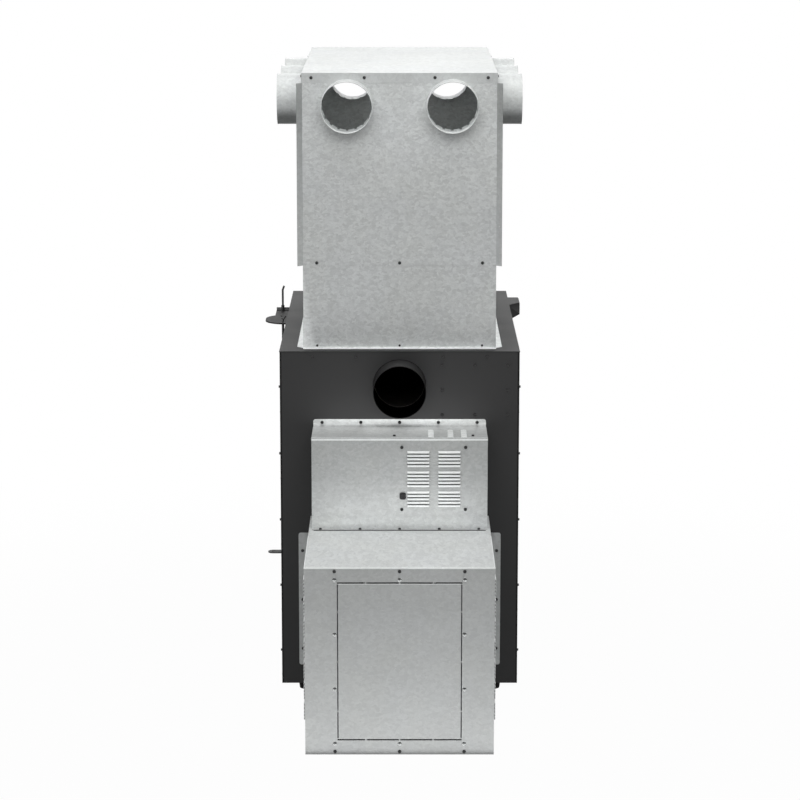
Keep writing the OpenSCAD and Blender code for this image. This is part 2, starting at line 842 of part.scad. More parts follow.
module ash_drawer() {
    front_x = chamber_x + ash_lap - chamber_t;
    front_y = casing_d + slide_fit;
    color("dimgray")
        difference() {
            union() {
                block([-ash_x, ash_x], [ash_y0, front_y + ash_front_t / 2], [ash_z0, ash_z0 + ash_h]);
                block([-front_x, front_x], [front_y, front_y + ash_front_t],
                    [chamber_z0 + chamber_t - ash_lap, firebox_z0 - chamber_t + ash_lap]);
            }
            block([-ash_x + ash_t, ash_x - ash_t], [ash_y0 + ash_t, front_y],
                [ash_z0 + ash_t, ash_z0 + ash_h + cut]);
        }
}

module ash_drawer_handle() {
    z = (chamber_z0 + firebox_z0) / 2;
    y0 = casing_d + slide_fit + ash_front_t;
    color("black") {
        translate([-bail_x, bail_y, z]) aim("right") cylinder(r = bail_r, h = 2 * bail_x);
        for (s = [-1, 1])
            translate([s * (bail_x - bail_r), y0, z]) aim("front")
                cylinder(r = bail_r - 1, h = bail_y - y0);
    }
}

// ---- Loading door ----

module loading_door() {
    arm_t = 10;
    color("black")
        difference() {
            union() {
                difference() {
                    block([-door_x, door_x], [door_y0, door_y1], [door_z0, door_z1]);
                    gasket_ring(groove, slide_fit / 4);
                    block([-window_x, window_x], [door_y0 - cut, door_y1 + cut],
                        [window_z0, window_z1]);
                    glass_seat(slide_fit);
                }
                for (z = hinge_z) {
                    rod([hinge_x, hinge_y, z - lug_h / 2], lug_r, lug_h);
                    block([door_x - 1, hinge_x], [hinge_y - arm_t / 2, hinge_y + arm_t / 2],
                        [z - lug_h / 2, z + lug_h / 2]);
                }
            }
            for (z = hinge_z)
                translate([hinge_x, hinge_y, z - lug_h / 2 - cut])
                    cylinder(r = hinge_r + run_fit, h = lug_h + 2 * cut);
            translate([spindle_x, door_y1 + cut, spindle_z]) aim("rear")
                cylinder(r = spindle_r + run_fit, h = door_t + 2 * cut);
        }
}

// The gasket follows the rim of the firebox neck
function gasket_x(side) = mouth_x + plate_t / 2 + (side - 0.5) * gasket_w;

module gasket_ring(depth, fit) {
    y = [door_y0 - (fit > 0 ? cut : gasket_proud), door_y0 + depth];
    in_z = mouth_z0 - plate_t / 2;
    out_z = mouth_z1 + plate_t / 2;
    w = gasket_w / 2;
    difference() {
        block([-gasket_x(1) - fit, gasket_x(1) + fit], y, [in_z - w - fit, out_z + w + fit]);
        block([-gasket_x(0) + fit, gasket_x(0) - fit], [y[0] - cut, y[1] + cut],
            [in_z + w + fit, out_z - w - fit]);
    }
}

// Rebate for the glass at the back of the window
module glass_seat(fit) {
    block([-window_x - glass_lap - fit, window_x + glass_lap + fit],
        [door_y0 - (fit > 0 ? cut : 0), door_y0 + glass_t],
        [window_z0 - glass_lap - fit, window_z1 + glass_lap + fit]);
}

module door_glass() {
    color("lightblue", 0.4) glass_seat(0);
}

module door_gasket() {
    color("white") gasket_ring(groove, 0);
}

module hinge_brackets() {
    plate = 3;
    reach = hinge_y + lug_r;
    color("black")
        for (z = hinge_z)
            difference() {
                union() {
                    block([hinge_x - 14, hinge_x + 14], [casing_d, casing_d + plate],
                        [z - lug_h / 2 - slide_fit - ear_t, z + lug_h / 2 + slide_fit + ear_t]);
                    for (s = [-1, 1])
                        block([hinge_x - lug_r, hinge_x + lug_r], [casing_d, reach],
                            [z + s * (lug_h / 2 + slide_fit + ear_t / 2) - ear_t / 2,
                            z + s * (lug_h / 2 + slide_fit + ear_t / 2) + ear_t / 2]);
                }
                translate([hinge_x, hinge_y, z - lug_h])
                    cylinder(r = hinge_r + run_fit, h = 2 * lug_h);
            }
}

module hinge_pins() {
    half = lug_h / 2 + slide_fit + ear_t;
    color("silver")
        for (z = hinge_z) {
            rod([hinge_x, hinge_y, z - half - 3], hinge_r, 2 * half + 4);
            rod([hinge_x, hinge_y, z + half], hinge_r + 3, 3);
        }
}

module door_handle() {
    hub_y = door_y1 + slide_fit;
    bar_r = grip_r / 2 - 1;
    color("black") {
        translate([spindle_x, hub_y, spindle_z]) aim("rear")
            cylinder(r = spindle_r, h = hub_y - cam_y);
        translate([spindle_x, hub_y, spindle_z]) aim("front")
            cylinder(r = spindle_r + 7, h = bar_y - hub_y + 8);
        rod([spindle_x, bar_y, spindle_z - handle_len], bar_r, handle_len);
        translate([spindle_x, cam_y, spindle_z]) aim("front") cylinder(r = 10, h = cam_t);
        block([spindle_x - cam_len, spindle_x], [cam_y, cam_y + cam_t],
            [spindle_z - 8, spindle_z + 8]);
    }
}

module handle_grip() {
    color("sienna")
        translate([spindle_x, bar_y, spindle_z - handle_len])
            pipe(grip_r, grip_r / 2 - 1 + run_fit, grip_len);
}

module latch_keeper() {
    near = -(spindle_x - cam_len) + 1.5;
    color("black")
        difference() {
            block([-near - 20, -near], [casing_d, casing_d + 18], [spindle_z - 22, spindle_z + 22]);
            translate([-near, casing_d + 18, spindle_z - 22 - cut])
                rotate([0, 0, 45]) cube([12, 12, 44 + 2 * cut], center = false);
        }
}

// ---- Combustion air ----

module combustion_air_duct() {
    half = air_duct_d / 2;
    x = [duct_x0, duct_x0 + air_duct_w + 2 * duct_t];
    mid_x = (x[0] + x[1]) / 2;
    color("silver")
        difference() {
            union() {
                block(x, [duct_mid_y - half - duct_t, duct_mid_y + half + duct_t], [duct_z0, duct_z1]);
                block([x[0], in_x], [duct_mid_y - half, duct_mid_y + half],
                    [cover_z1 - 14, duct_z1]);
            }
            block([x[0] + duct_t, x[1] - duct_t], [duct_mid_y - half, duct_mid_y + half],
                [duct_z0 - cut, duct_z1 - duct_t]);
            block([mid_x, in_x + cut], [duct_mid_y - air_slot_y, duct_mid_y + air_slot_y],
                [cover_z1 - 12, cover_z1 - 4]);
            translate([x[0] - cut, duct_mid_y, damper_z]) aim("right")
                cylinder(r = damper_r + run_fit, h = in_x - x[0] + 2 * cut);
        }
}

// Flap on its shaft; the shaft runs on into the motor
module damper_flap() {
    half = air_duct_d / 2 - 1.5;
    x0 = duct_x0 + duct_t;
    color("slategray") {
        translate([duct_x0 - 4, duct_mid_y, damper_z]) aim("right")
            cylinder(r = damper_r, h = casing_x + 18 - duct_x0 + 4);
        block([x0 + 1, x0 + air_duct_w - 1], [duct_mid_y - half, duct_mid_y + half],
            [damper_z - damper_t / 2, damper_z + damper_t / 2]);
    }
}

module damper_motor() {
    color("gray")
        difference() {
            block(servo_x, [duct_mid_y - 30, duct_mid_y + 30], [damper_z - 13, damper_z + 13]);
            translate([servo_x[0] - cut, duct_mid_y, damper_z]) aim("right")
                cylinder(r = damper_r + run_fit, h = 20 + cut);
        }
}

// Cover profile in the XZ plane, open towards the casing
module cover_2d(inset) {
    x1 = casing_x + cover_out - inset;
    polygon([[casing_x - (inset > 0 ? cut : 0), cover_z0 - cover_slope + inset],
        [x1, cover_z0 + inset],
        [x1, cover_z1 - inset - 3],
        [x1 - 3, cover_z1 - inset],
        [casing_x - (inset > 0 ? cut : 0), cover_z1 - inset]]);
}

// The cover's outer shape, or its room with an inset; its near end runs aslant
module cover_body(inset) {
    k = cover_skew / cover_out;
    near = cover_y0 + inset * sqrt(1 + k * k);
    far = cover_y0 + cover_len - inset;
    intersection() {
        translate([0, far, 0]) rotate([90, 0, 0]) linear_extrude(cover_len) cover_2d(inset);
        translate([0, 0, cover_z0 - cover_slope - cut])
            linear_extrude(cover_h + cover_slope + 2 * cut)
                polygon([[casing_x - cut, near - cut * k], [casing_x + cover_out, near + cover_skew],
                    [casing_x + cover_out, far], [casing_x - cut, far]]);
    }
}

module damper_motor_cover() {
    far = cover_y0 + cover_len;
    color("dimgray")
        difference() {
            cover_body(0);
            cover_body(cover_t);
            block([casing_x + 7, casing_x + cover_out - 7], [far - 32, far - 8],
                [cover_z0 - cover_slope - cut, cover_z0 + cover_slope / 2]);
        }
}

// ---- Blower box ----

// One louvre, pressed out towards -Y, open below, centred on X
module louvre(length) {
    d = louvre_out;
    h = louvre_h;
    t = 0.8;
    outer = [[0, h], [-0.6 * d, 0.8 * h], [-d, 0.4 * h], [-d, 0]];
    inner = [[t - d, 0], [t - d, 0.36 * h], [0.6 * t - 0.6 * d, 0.8 * h - t], [0, h - 1.3 * t]];
    translate([-length / 2, 0, 0]) rotate([90, 0, 90])
        linear_extrude(length) polygon(concat(outer, inner));
    for (x = [-length / 2, length / 2 - t])
        translate([x, 0, 0]) rotate([90, 0, 90])
            linear_extrude(t) polygon(concat(outer, [[0, 0]]));
}

module louvre_slot(length) {
    block([-length / 2 + 1, length / 2 - 1], [-0.1, box_t + cut], [0.4, louvre_h - 1.5]);
}

// Groups of louvres, the first at the top
module louvre_groups(groups) {
    for (g = [0:groups - 1], i = [0:louvre_n - 1])
        translate([0, 0, -g * group_pitch - i * louvre_pitch]) children();
}

module side_louvres(s) {
    translate([s * box_x, side_louvre_y, side_louvre_top])
        rotate([0, 0, s * 90]) louvre_groups(side_group_n) children();
}

module blower_box() {
    in_w = box_x - box_t;
    color("lightgray")
        difference() {
            union() {
                difference() {
                    block([-box_x, box_x], [back_y + box_t, 0], [0, box_top]);
                    block([-in_w, in_w], [back_y + 2 * box_t, cut], [box_t, box_top + cut]);
                    block([-in_w + frame_w, in_w - frame_w], [back_y, back_y + 3 * box_t],
                        [frame_w, box_top - frame_w]);
                }
                for (s = [-1, 1])
                    mounting_flange(s);
                for (s = [-1, 1])
                    side_louvres(s) louvre(louvre_len);
            }
            for (s = [-1, 1]) {
                side_louvres(s) louvre_slot(louvre_len);
                at_points(lid_points(s), side_name(s)) screw_hole(3 * box_t);
            }
            at_points(flange_points, "rear") screw_hole(2 * box_t);
            at_points(back_points, "rear") screw_hole(3 * box_t);
        }
}

function lid_points(s) = [for (y = lid_y) [s * (box_x + box_t), y, lid_z]];

module mounting_flange(s) {
    w = blower_flange + flange_r;
    translate([s * (box_x + blower_flange - w / 2), 0, flange_z0 + blower_flange_h / 2])
        aim("rear") difference() {
            linear_extrude(box_t) round_rect(w, blower_flange_h, flange_r);
            translate([-s * w / 2 - flange_r, -blower_flange_h, -cut])
                cube([2 * flange_r, 2 * blower_flange_h, 3 * cut]);
        }
}

module blower_box_lid() {
    skirt = 20;
    color("lightgray")
        difference() {
            block([-box_x - box_t, box_x + box_t], [back_y, 0], [blower_h - skirt, blower_h]);
            block([-box_x, box_x], [back_y - cut, cut], [blower_h - skirt - cut, box_top]);
            for (s = [-1, 1])
                at_points(lid_points(s), side_name(s)) screw_hole(3 * box_t);
            at_points(control_foot_points, "up") screw_hole(2 * box_t + cut);
        }
}

// Slot along one side of the knock-out, with three bridges left standing
module knockout_slot(length, pitch) {
    bridge = 4;
    difference() {
        translate([-length / 2, -slot_w / 2, 0]) cube([length, slot_w, 3 * cut]);
        for (i = [-1:1])
            translate([i * pitch - bridge / 2, -slot_w, -cut]) cube([bridge, 2 * slot_w, 5 * cut]);
    }
}

module blower_rear_panel() {
    kx = (knockout_w - slot_w) / 2;
    kz = (knockout_h - slot_w) / 2;
    corner = 2.5;
    dimples = concat([for (x = [-back_x, 0, back_x], z = [32, blower_h - 35]) [x, z]],
        [for (x = [-back_x, back_x], dz = [152, 314]) [x, knockout_low + dz]]);
    color("lightgray")
        difference() {
            block([-box_x, box_x], [back_y, back_y + box_t], [0, box_top]);
            translate([0, back_y + cut + box_t, knockout_low + knockout_h / 2]) aim("rear")
                for (s = [-1, 1]) {
                    translate([0, s * kz, 0]) knockout_slot(knockout_w, bridge_dx);
                    translate([s * kx, 0, 0]) rotate([0, 0, 90])
                        knockout_slot(knockout_h - 2 * slot_w - 2 * corner, bridge_dz);
                }
            for (d = dimples)
                translate([d[0], back_y + box_t + cut, d[1]]) aim("rear") {
                    cylinder(r = 1.4, h = box_t + 2 * cut);
                    translate([0, 0, cut]) cylinder(r1 = 1.4, r2 = 3.6, h = box_t + 0.1);
                }
            at_points(back_points, "rear") screw_hole(2 * box_t + cut);
        }
}

module blower_screws() {
    color("black") {
        at_points(back_points, "rear") screw(2 * box_t);
        at_points(flange_points, "rear") screw(box_t + casing_t);
        for (s = [-1, 1])
            at_points(lid_points(s), side_name(s)) rivet(2 * box_t);
    }
}

// Spiral wall of the blower, as points in the YZ plane about the shaft
function spiral(grow) = [for (a = [0:10:360 - outlet_angle - 50])
    let (share = a / (310 - outlet_angle), r = scroll_start + share * (scroll_end - scroll_start) + grow)
    [r * cos(outlet_angle - a), r * sin(outlet_angle - a)]];

module scroll_2d(grow) {
    top = scroll_end + grow;
    low = scroll_start * sin(outlet_angle) - grow;
    polygon(concat([[-shaft_y, low]], spiral(grow), [[0, top], [-shaft_y, top]]));
}

module scroll_housing() {
    w = 2 * scroll_x;
    low = outlet_z0 - shaft_z;
    color("silver")
        translate([-scroll_x, shaft_y, shaft_z]) rotate([90, 0, 90])
            difference() {
                union() {
                    linear_extrude(w) scroll_2d(0);
                    translate([-shaft_y - scroll_t, low - outlet_lip, -outlet_lip])
                        cube([scroll_t, outlet_z1 - outlet_z0 + 2 * outlet_lip, w + 2 * outlet_lip]);
                }
                translate([0, 0, scroll_t]) linear_extrude(w - 2 * scroll_t) scroll_2d(-scroll_t);
                rod([0, 0, -cut], inlet_r, w + 2 * cut);
                translate([-shaft_y - 2 * cut, low + scroll_t, scroll_t])
                    cube([3 * cut, outlet_z1 - outlet_z0 - 2 * scroll_t, w - 2 * scroll_t]);
            }
}

module blower_wheel() {
    ring_t = 3;
    blade_t = 1.2;
    blade_len = 16;
    color("silver")
        translate([-wheel_w / 2, shaft_y, shaft_z]) rotate([90, 0, 90]) {
            linear_extrude(wheel_w)
                for (i = [0:blade_n - 1])
                    rotate(i * 360 / blade_n) translate([wheel_r - blade_len / 2 - 1, 0])
                        rotate(32) square([blade_len, blade_t], center = true);
            pipe(wheel_r, wheel_r - blade_len, ring_t);
            translate([0, 0, wheel_w - ring_t]) pipe(wheel_r, wheel_r - blade_len, ring_t);
            translate([0, 0, wheel_w / 2 - ring_t / 2])
                pipe(wheel_r - 2, shaft_r + run_fit / 2, ring_t);
            translate([0, 0, wheel_w / 2 - 20]) pipe(shaft_r + 8, shaft_r + run_fit / 2, 40);
        }
}

module motor_shaft() {
    color("gainsboro")
        translate([-25, shaft_y, shaft_z]) aim("right")
            cylinder(r = shaft_r, h = motor_x0 + motor_len / 2 + 25);
}

module blower_motor() {
    boss_r = 18;
    color("dimgray")
        translate([motor_x0, shaft_y, shaft_z]) aim("right")
            difference() {
                union() {
                    cylinder(r = motor_r, h = motor_len);
                    rod([0, 0, -8], boss_r, 8 + cut);
                    rod([0, 0, motor_len - cut], boss_r, 8 + cut);
                }
                rod([0, 0, -8 - cut], shaft_r + run_fit, motor_len / 2 + 8 + 2 * cut);
            }
}

// Band round the motor with arms to the scroll's side plate
module motor_bracket() {
    band_r = motor_r + run_fit;
    arm_r = inlet_r + 8;
    arm_w = 14;
    color("gray")
        translate([scroll_x, shaft_y, shaft_z]) aim("right") {
            translate([0, 0, motor_x0 - scroll_x + 10]) pipe(band_r + band_t, band_r, 30);
            for (i = [0:arm_n - 1])
                rotate(i * 360 / arm_n + 30) {
                    translate([band_r + band_t / 2, -arm_w / 2, motor_x0 - scroll_x + 16])
                        cube([arm_r - band_r, arm_w, band_t]);
                    translate([arm_r - band_t / 2, -arm_w / 2, 0])
                        cube([band_t, arm_w, motor_x0 - scroll_x + 16 + band_t]);
                    translate([arm_r - band_t / 2, -arm_w / 2, 0]) cube([16, arm_w, band_t]);
                }
        }
}

module air_filter() {
    color("whitesmoke")
        block([-filter_x, filter_x], [filter_y, filter_y + filter_t],
            [box_t + channel_t + slide_fit, box_t + channel_t + slide_fit + filter_h]);
}

module filter_rack() {
    lip = 14;
    gap = slide_fit;
    z = [box_t, box_t + filter_h + 20];
    color("silver")
        difference() {
            block([-filter_x - gap - channel_t, filter_x + gap + channel_t],
                [filter_y - gap - channel_t, filter_y + filter_t + gap + channel_t], z);
            block([-filter_x - gap, filter_x + gap], [filter_y - gap, filter_y + filter_t + gap],
                [z[0] + channel_t, z[1] + cut]);
            block([-filter_x + lip, filter_x - lip],
                [filter_y - gap - 2 * channel_t, filter_y + filter_t + gap + 2 * channel_t],
                [z[0] + lip, z[1] + cut]);
        }
}

// ---- Control box ----

module at_louvre_columns() {
    for (x = louvre_x)
        translate([x, control_y, louvre_top]) louvre_groups(group_n) children();
}

module control_box() {
    rib_h = 2;
    rib_w = 17;
    rib_len = 114;
    color("lightgray")
        difference() {
            union() {
                difference() {
                    block([-control_x, control_x], [control_y, 0], [control_z0, control_z1]);
                    block([-control_x + box_t, control_x - box_t], [control_y + box_t, cut],
                        [control_z0 - cut, control_z1 - box_t]);
                }
                difference() {
                    translate([0, 0, control_z1]) aim("rear")
                        linear_extrude(box_t)
                            round_rect(control_w - 2, 2 * control_flange, flange_r);
                    block([-control_x, control_x], [-cut, cut],
                        [control_z1 - 2 * control_flange, control_z1 - box_t]);
                }
                translate([0, control_y, control_z0])
                    linear_extrude(box_t) round_rect(control_w, 2 * control_foot, flange_r - 2);
                for (x = [93.5, 151.5, 191.5])
                    block([x - rib_w / 2, x + rib_w / 2], [control_y, control_y + rib_len],
                        [control_z1 - box_t / 2, control_z1 + rib_h]);
                at_louvre_columns() louvre(louvre_len);
            }
            block([-control_x + box_t, control_x - box_t], [control_y + box_t, -box_t],
                [control_z0 - cut, control_z1 - box_t]);
            at_louvre_columns() louvre_slot(louvre_len);
            translate([switch_x, control_y + box_t + cut, switch_z]) aim("rear")
                linear_extrude(box_t + 2 * cut)
                    round_rect(switch_w - 4 + slide_fit, switch_h - 4 + slide_fit, 2);
            at_points(control_top_points, "rear") screw_hole(2 * box_t);
            at_points(concat(control_foot_points, control_lid_points), "up") screw_hole(2 * box_t);
            at_points(board_points, "rear") screw_hole(2 * box_t);
        }
}

// Plate on four standoffs, with the relay and the terminal block on it
module control_board() {
    y0 = control_y + box_t;
    y1 = y0 + standoff;
    plate = 1.6;
    margin = 9;
    color("seagreen") {
        at_points([for (p = board_points) [p[0], y1, p[2]]], "rear")
            pipe(4, screw_r + screw_fit, standoff);
        difference() {
            block([board_screw_x[0] - margin, board_screw_x[1] + margin], [y1, y1 + plate],
                [board_screw_z[0] - margin, board_screw_z[1] + margin]);
            block([board_screw_x[0] - margin - cut, switch_x + switch_w],
                [y1 - cut, y1 + plate + cut], [switch_z - switch_h, switch_z + switch_h]);
        }
        block([120, 150], [y1 + plate, y1 + plate + 28], [control_z0 + 90, control_z0 + 125]);
        block([40, 110], [y1 + plate, y1 + plate + 16], [control_z0 + 90, control_z0 + 108]);
    }
}

module transformer() {
    y0 = control_y + box_t + standoff + 1.6;
    z0 = control_z0 + 150;
    color("goldenrod")
        difference() {
            block([50, 120], [y0, y0 + 50], [z0, z0 + 60]);
            for (z = [z0 - cut, z0 + 52])
                block([58, 112], [y0 + 8, y0 + 52], [z, z + 10]);
        }
}

module switch_bezel() {
    depth = 16;
    fit = slide_fit / 2;
    color("black")
        translate([switch_x, control_y, switch_z]) aim("rear")
            difference() {
                union() {
                    linear_extrude(bezel_t) round_rect(switch_w, switch_h, 6);
                    translate([0, 0, -depth]) linear_extrude(depth + bezel_t / 2)
                        round_rect(switch_w - 4, switch_h - 4, 2);
                }
                translate([-button_w / 2 - fit, -button_h / 2 - fit, -depth + cut])
                    cube([button_w + 2 * fit, button_h + 2 * fit, depth + bezel_t + cut]);
            }
}

module switch_button() {
    inside = 16 - cut - button_travel - 0.5;
    color("dimgray")
        translate([switch_x, control_y, switch_z]) aim("rear")
            translate([0, 0, -inside])
                linear_extrude(inside + bezel_t + button_out) round_rect(button_w, button_h, 2);
}

module control_screws() {
    color("black") {
        at_points(control_top_points, "rear") screw(box_t + casing_t);
        at_points(concat(control_foot_points, control_lid_points), "up") screw(2 * box_t);
        at_points(board_points, "rear") screw(box_t + standoff - 2);
    }
}

// ---- Plenum ----

// Screws round the plenum at one height, given its end and side positions
module plenum_ring(z, xs, ys) {
    at_points([for (x = xs) [x, plenum_y0 + sheet_t, z]], "rear") children();
    at_points([for (x = xs) [x, plenum_y1 - sheet_t, z]], "front") children();
    at_points([for (y = ys) [-plenum_x + sheet_t, y, z]], "left") children();
    at_points([for (y = ys) [plenum_x - sheet_t, y, z]], "right") children();
}

module plenum_holes() {
    reach = 3 * sheet_t + cut;
    plenum_ring(lid_screw_z, lid_end_x, lid_side_y) screw_hole(reach);
    plenum_ring(seam_screw_z, seam_end_x, seam_side_y) screw_hole(reach);
    plenum_ring(foot_screw_z, seam_end_x, seam_side_y) screw_hole(reach);
}

module plenum_lower_box() {
    fx = plenum_x + plenum_flange;
    color("lightgray")
        difference() {
            union() {
                for (y = [plenum_y0, plenum_y1])
                    translate([0, y, casing_top]) linear_extrude(sheet_t)
                        round_rect(plenum_w, 2 * plenum_flange, 6);
                for (s = [-1, 1])
                    translate([0, 0, casing_top]) linear_extrude(sheet_t)
                        polygon([[s * lower_x, plenum_y0], [s * fx, plenum_y0 + plenum_flange],
                            [s * fx, plenum_y1 - plenum_flange], [s * lower_x, plenum_y1]]);
                block([-lower_x, lower_x], [lower_y0, lower_y1], [casing_top, seam_z + lap]);
            }
            block([-lower_x + sheet_t, lower_x - sheet_t],
                [lower_y0 + sheet_t, lower_y1 - sheet_t],
                [casing_top - cut, seam_z + lap + cut]);
            plenum_holes();
        }
}

// Clearance for a collar, grown by what its stop bead takes
module collar_hole(side, place, grow = 0) {
    translate(place) aim(side) translate([0, 0, -2 * sheet_t])
        cylinder(r = collar_out + nest_fit + grow, h = 4 * sheet_t);
}

module plenum_end(y, side) {
    y_out = side == "rear" ? y[0] : y[1];
    difference() {
        block([-plenum_x, plenum_x], y, [seam_z, plenum_top - sheet_t]);
        for (x = end_x)
            collar_hole(side, [x, y_out, collar_z]);
        plenum_holes();
    }
}

module plenum_side(x, side) {
    x_out = side == "left" ? x[0] : x[1];
    difference() {
        block(x, [lower_y0, lower_y1], [seam_z, plenum_top - sheet_t]);
        for (y = side_y)
            collar_hole(side, [x_out, y, collar_z]);
        plenum_holes();
    }
}

module plenum_rear_panel() {
    color("lightgray") plenum_end([plenum_y0, lower_y0], "rear");
}

module plenum_front_panel() {
    color("lightgray") plenum_end([lower_y1, plenum_y1], "front");
}

module plenum_left_panel() {
    color("lightgray") plenum_side([-plenum_x, -lower_x], "left");
}

module plenum_right_panel() {
    color("lightgray") plenum_side([lower_x, plenum_x], "right");
}

module plenum_lid() {
    fit = nest_fit / 2;
    grow = sheet_t + fit;
    color("whitesmoke")
        difference() {
            block([-plenum_x - grow, plenum_x + grow], [plenum_y0 - grow, plenum_y1 + grow],
                [plenum_top - lid_skirt, plenum_top]);
            block([-plenum_x - fit, plenum_x + fit], [plenum_y0 - fit, plenum_y1 + fit],
                [plenum_top - lid_skirt - cut, plenum_top - sheet_t]);
            plenum_holes();
            for (x = end_x) {
                collar_hole("rear", [x, plenum_y0, collar_z], bead);
                collar_hole("front", [x, plenum_y1, collar_z], bead);
            }
            for (y = side_y) {
                collar_hole("left", [-plenum_x, y, collar_z], bead);
                collar_hole("right", [plenum_x, y, collar_z], bead);
            }
        }
}

// Folded seams that stand at 45 degrees on the upper box's corners
module corner_seams() {
    fold_t = 2.2;
    z = [seam_z, plenum_top - lid_skirt];
    color("lightgray")
        difference() {
            for (sx = [-1, 1], end = [0, 1])
                translate([sx * plenum_x, end == 0 ? plenum_y0 : plenum_y1, 0])
                    rotate([0, 0, end == 0 ? (sx < 0 ? 225 : -45) : (sx < 0 ? 135 : 45)])
                        difference() {
                            block([-3, seam_reach * sqrt(2)], [-fold_t / 2, fold_t / 2], z);
                            translate([seam_reach * 0.75, -fold_t, z[0] + 119]) rotate([-90, 0, 0])
                                cylinder(r = 1.8, h = 2 * fold_t);
                        }
            block([-plenum_x, plenum_x], [plenum_y0, plenum_y1], [z[0] - cut, z[1] + cut]);
        }
}

// Round collar with a stop bead outside and a crown of tabs inside
module collar() {
    crown = collar_in - sheet_t;
    pipe(collar_out + bead, collar_in, bead);
    translate([0, 0, -sheet_t]) pipe(collar_out, collar_in, collar_len + sheet_t);
    difference() {
        translate([0, 0, -sheet_t - tab_len]) pipe(collar_in, crown, tab_len + 2 * sheet_t);
        for (a = [0:15:165])
            rotate(a) translate([-collar_out, -2, -sheet_t - tab_len - cut])
                cube([2 * collar_out, 4, tab_len + cut]);
    }
}

module end_collars() {
    color("gainsboro")
        for (x = end_x) {
            translate([x, plenum_y0, collar_z]) aim("rear") collar();
            translate([x, plenum_y1, collar_z]) aim("front") collar();
        }
}

module side_collars() {
    color("gainsboro")
        for (y = side_y) {
            translate([-plenum_x, y, collar_z]) aim("left") collar();
            translate([plenum_x, y, collar_z]) aim("right") collar();
        }
}

module plenum_screws() {
    lid_out = 2 * sheet_t + nest_fit / 2;
    color("black") {
        plenum_ring(lid_screw_z, lid_end_x, lid_side_y)
            translate([0, 0, lid_out]) screw(lid_out);
        plenum_ring(seam_screw_z, seam_end_x, seam_side_y)
            translate([0, 0, sheet_t]) screw(2 * sheet_t);
        plenum_ring(foot_screw_z, seam_end_x, seam_side_y)
            rivet(2 * sheet_t);
    }
}

// ---- Side fittings ----

module tool_rest() {
    leg = 30;
    lip_h = 9;
    hole_r = poker_r + slide_fit;
    disc_x = -casing_x - 9;
    color("dimgray")
        difference() {
            union() {
                block([-rest_x, -casing_x], [rest_y, rest_far], [rest_z - rest_t, rest_z]);
                for (y = [0, rest_len])
                    rod([disc_x, rest_y + y, rest_z - rest_t], rest_r, rest_t);
                block([disc_x - rest_r, disc_x], [rest_y, rest_y + rest_len], [rest_z - rest_t, rest_z]);
                block([-rest_x, -casing_x], [rest_far - rest_t, rest_far], [rest_z - rest_t, rest_z + lip_h]);
                block([-casing_x - rest_t, -casing_x], [rest_y, rest_far], [rest_z - leg, rest_z]);
            }
            block([-casing_x, 0], [rest_y - 2 * rest_r, rest_far + cut], [rest_z - leg, rest_z + leg]);
            translate([poker_x, poker_y, rest_z - rest_t - cut])
                cylinder(r = hole_r, h = rest_t + 2 * cut);
        }
}

module poker() {
    knob_h = 20;
    bend_z = 72;
    rod_r = poker_r * 0.8;
    color("black")
        translate([poker_x, poker_y, rest_z]) {
            rod([0, 0, -poker_len], poker_r, poker_len + knob_h);
            rod([0, 0, rest_fit], poker_r + 1.2, knob_h);
            rod([0, 0, knob_h], rod_r, bend_z - knob_h);
            translate([0, 0, bend_z]) sphere(r = rod_r + 0.1);
            translate([0, 0, bend_z]) rotate([0, 20, 0]) cylinder(r = rod_r - 0.1, h = 14);
        }
}

module side_eye_tab() {
    color("black")
        difference() {
            union() {
                block([tab_hole_x, -casing_x], [tab_y - tab_r, tab_y + tab_r], [tab_z - tab_t, tab_z]);
                rod([tab_hole_x, tab_y, tab_z - tab_t], tab_r, tab_t);
                block([-casing_x - tab_t, -casing_x], [tab_y - tab_r, tab_y + tab_r],
                    [tab_z - 30, tab_z]);
            }
            translate([tab_hole_x, tab_y, tab_z - tab_t - cut])
                cylinder(r = tab_hole_r, h = tab_t + 2 * cut);
        }
}

base_pan();
levelling_feet();
left_side_panel();
right_side_panel();
rear_panel();
rear_inner_plate();
front_panel();
top_panel();
casing_screws();
firebox_shell();
fire_bricks();
ash_grate();
baffle_board();
secondary_air_tubes();
heat_exchanger();
flue_collar();
ash_drawer();
ash_drawer_handle();
loading_door();
door_glass();
door_gasket();
hinge_brackets();
hinge_pins();
door_handle();
handle_grip();
latch_keeper();
combustion_air_duct();
damper_flap();
damper_motor();
damper_motor_cover();
blower_box();
blower_box_lid();
blower_rear_panel();
blower_screws();
scroll_housing();
blower_wheel();
motor_shaft();
blower_motor();
motor_bracket();
air_filter();
filter_rack();
control_box();
control_board();
transformer();
switch_bezel();
switch_button();
control_screws();
plenum_lower_box();
plenum_rear_panel();
plenum_front_panel();
plenum_left_panel();
plenum_right_panel();
plenum_lid();
corner_seams();
end_collars();
side_collars();
plenum_screws();
tool_rest();
poker();
side_eye_tab();
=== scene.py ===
import json
import math

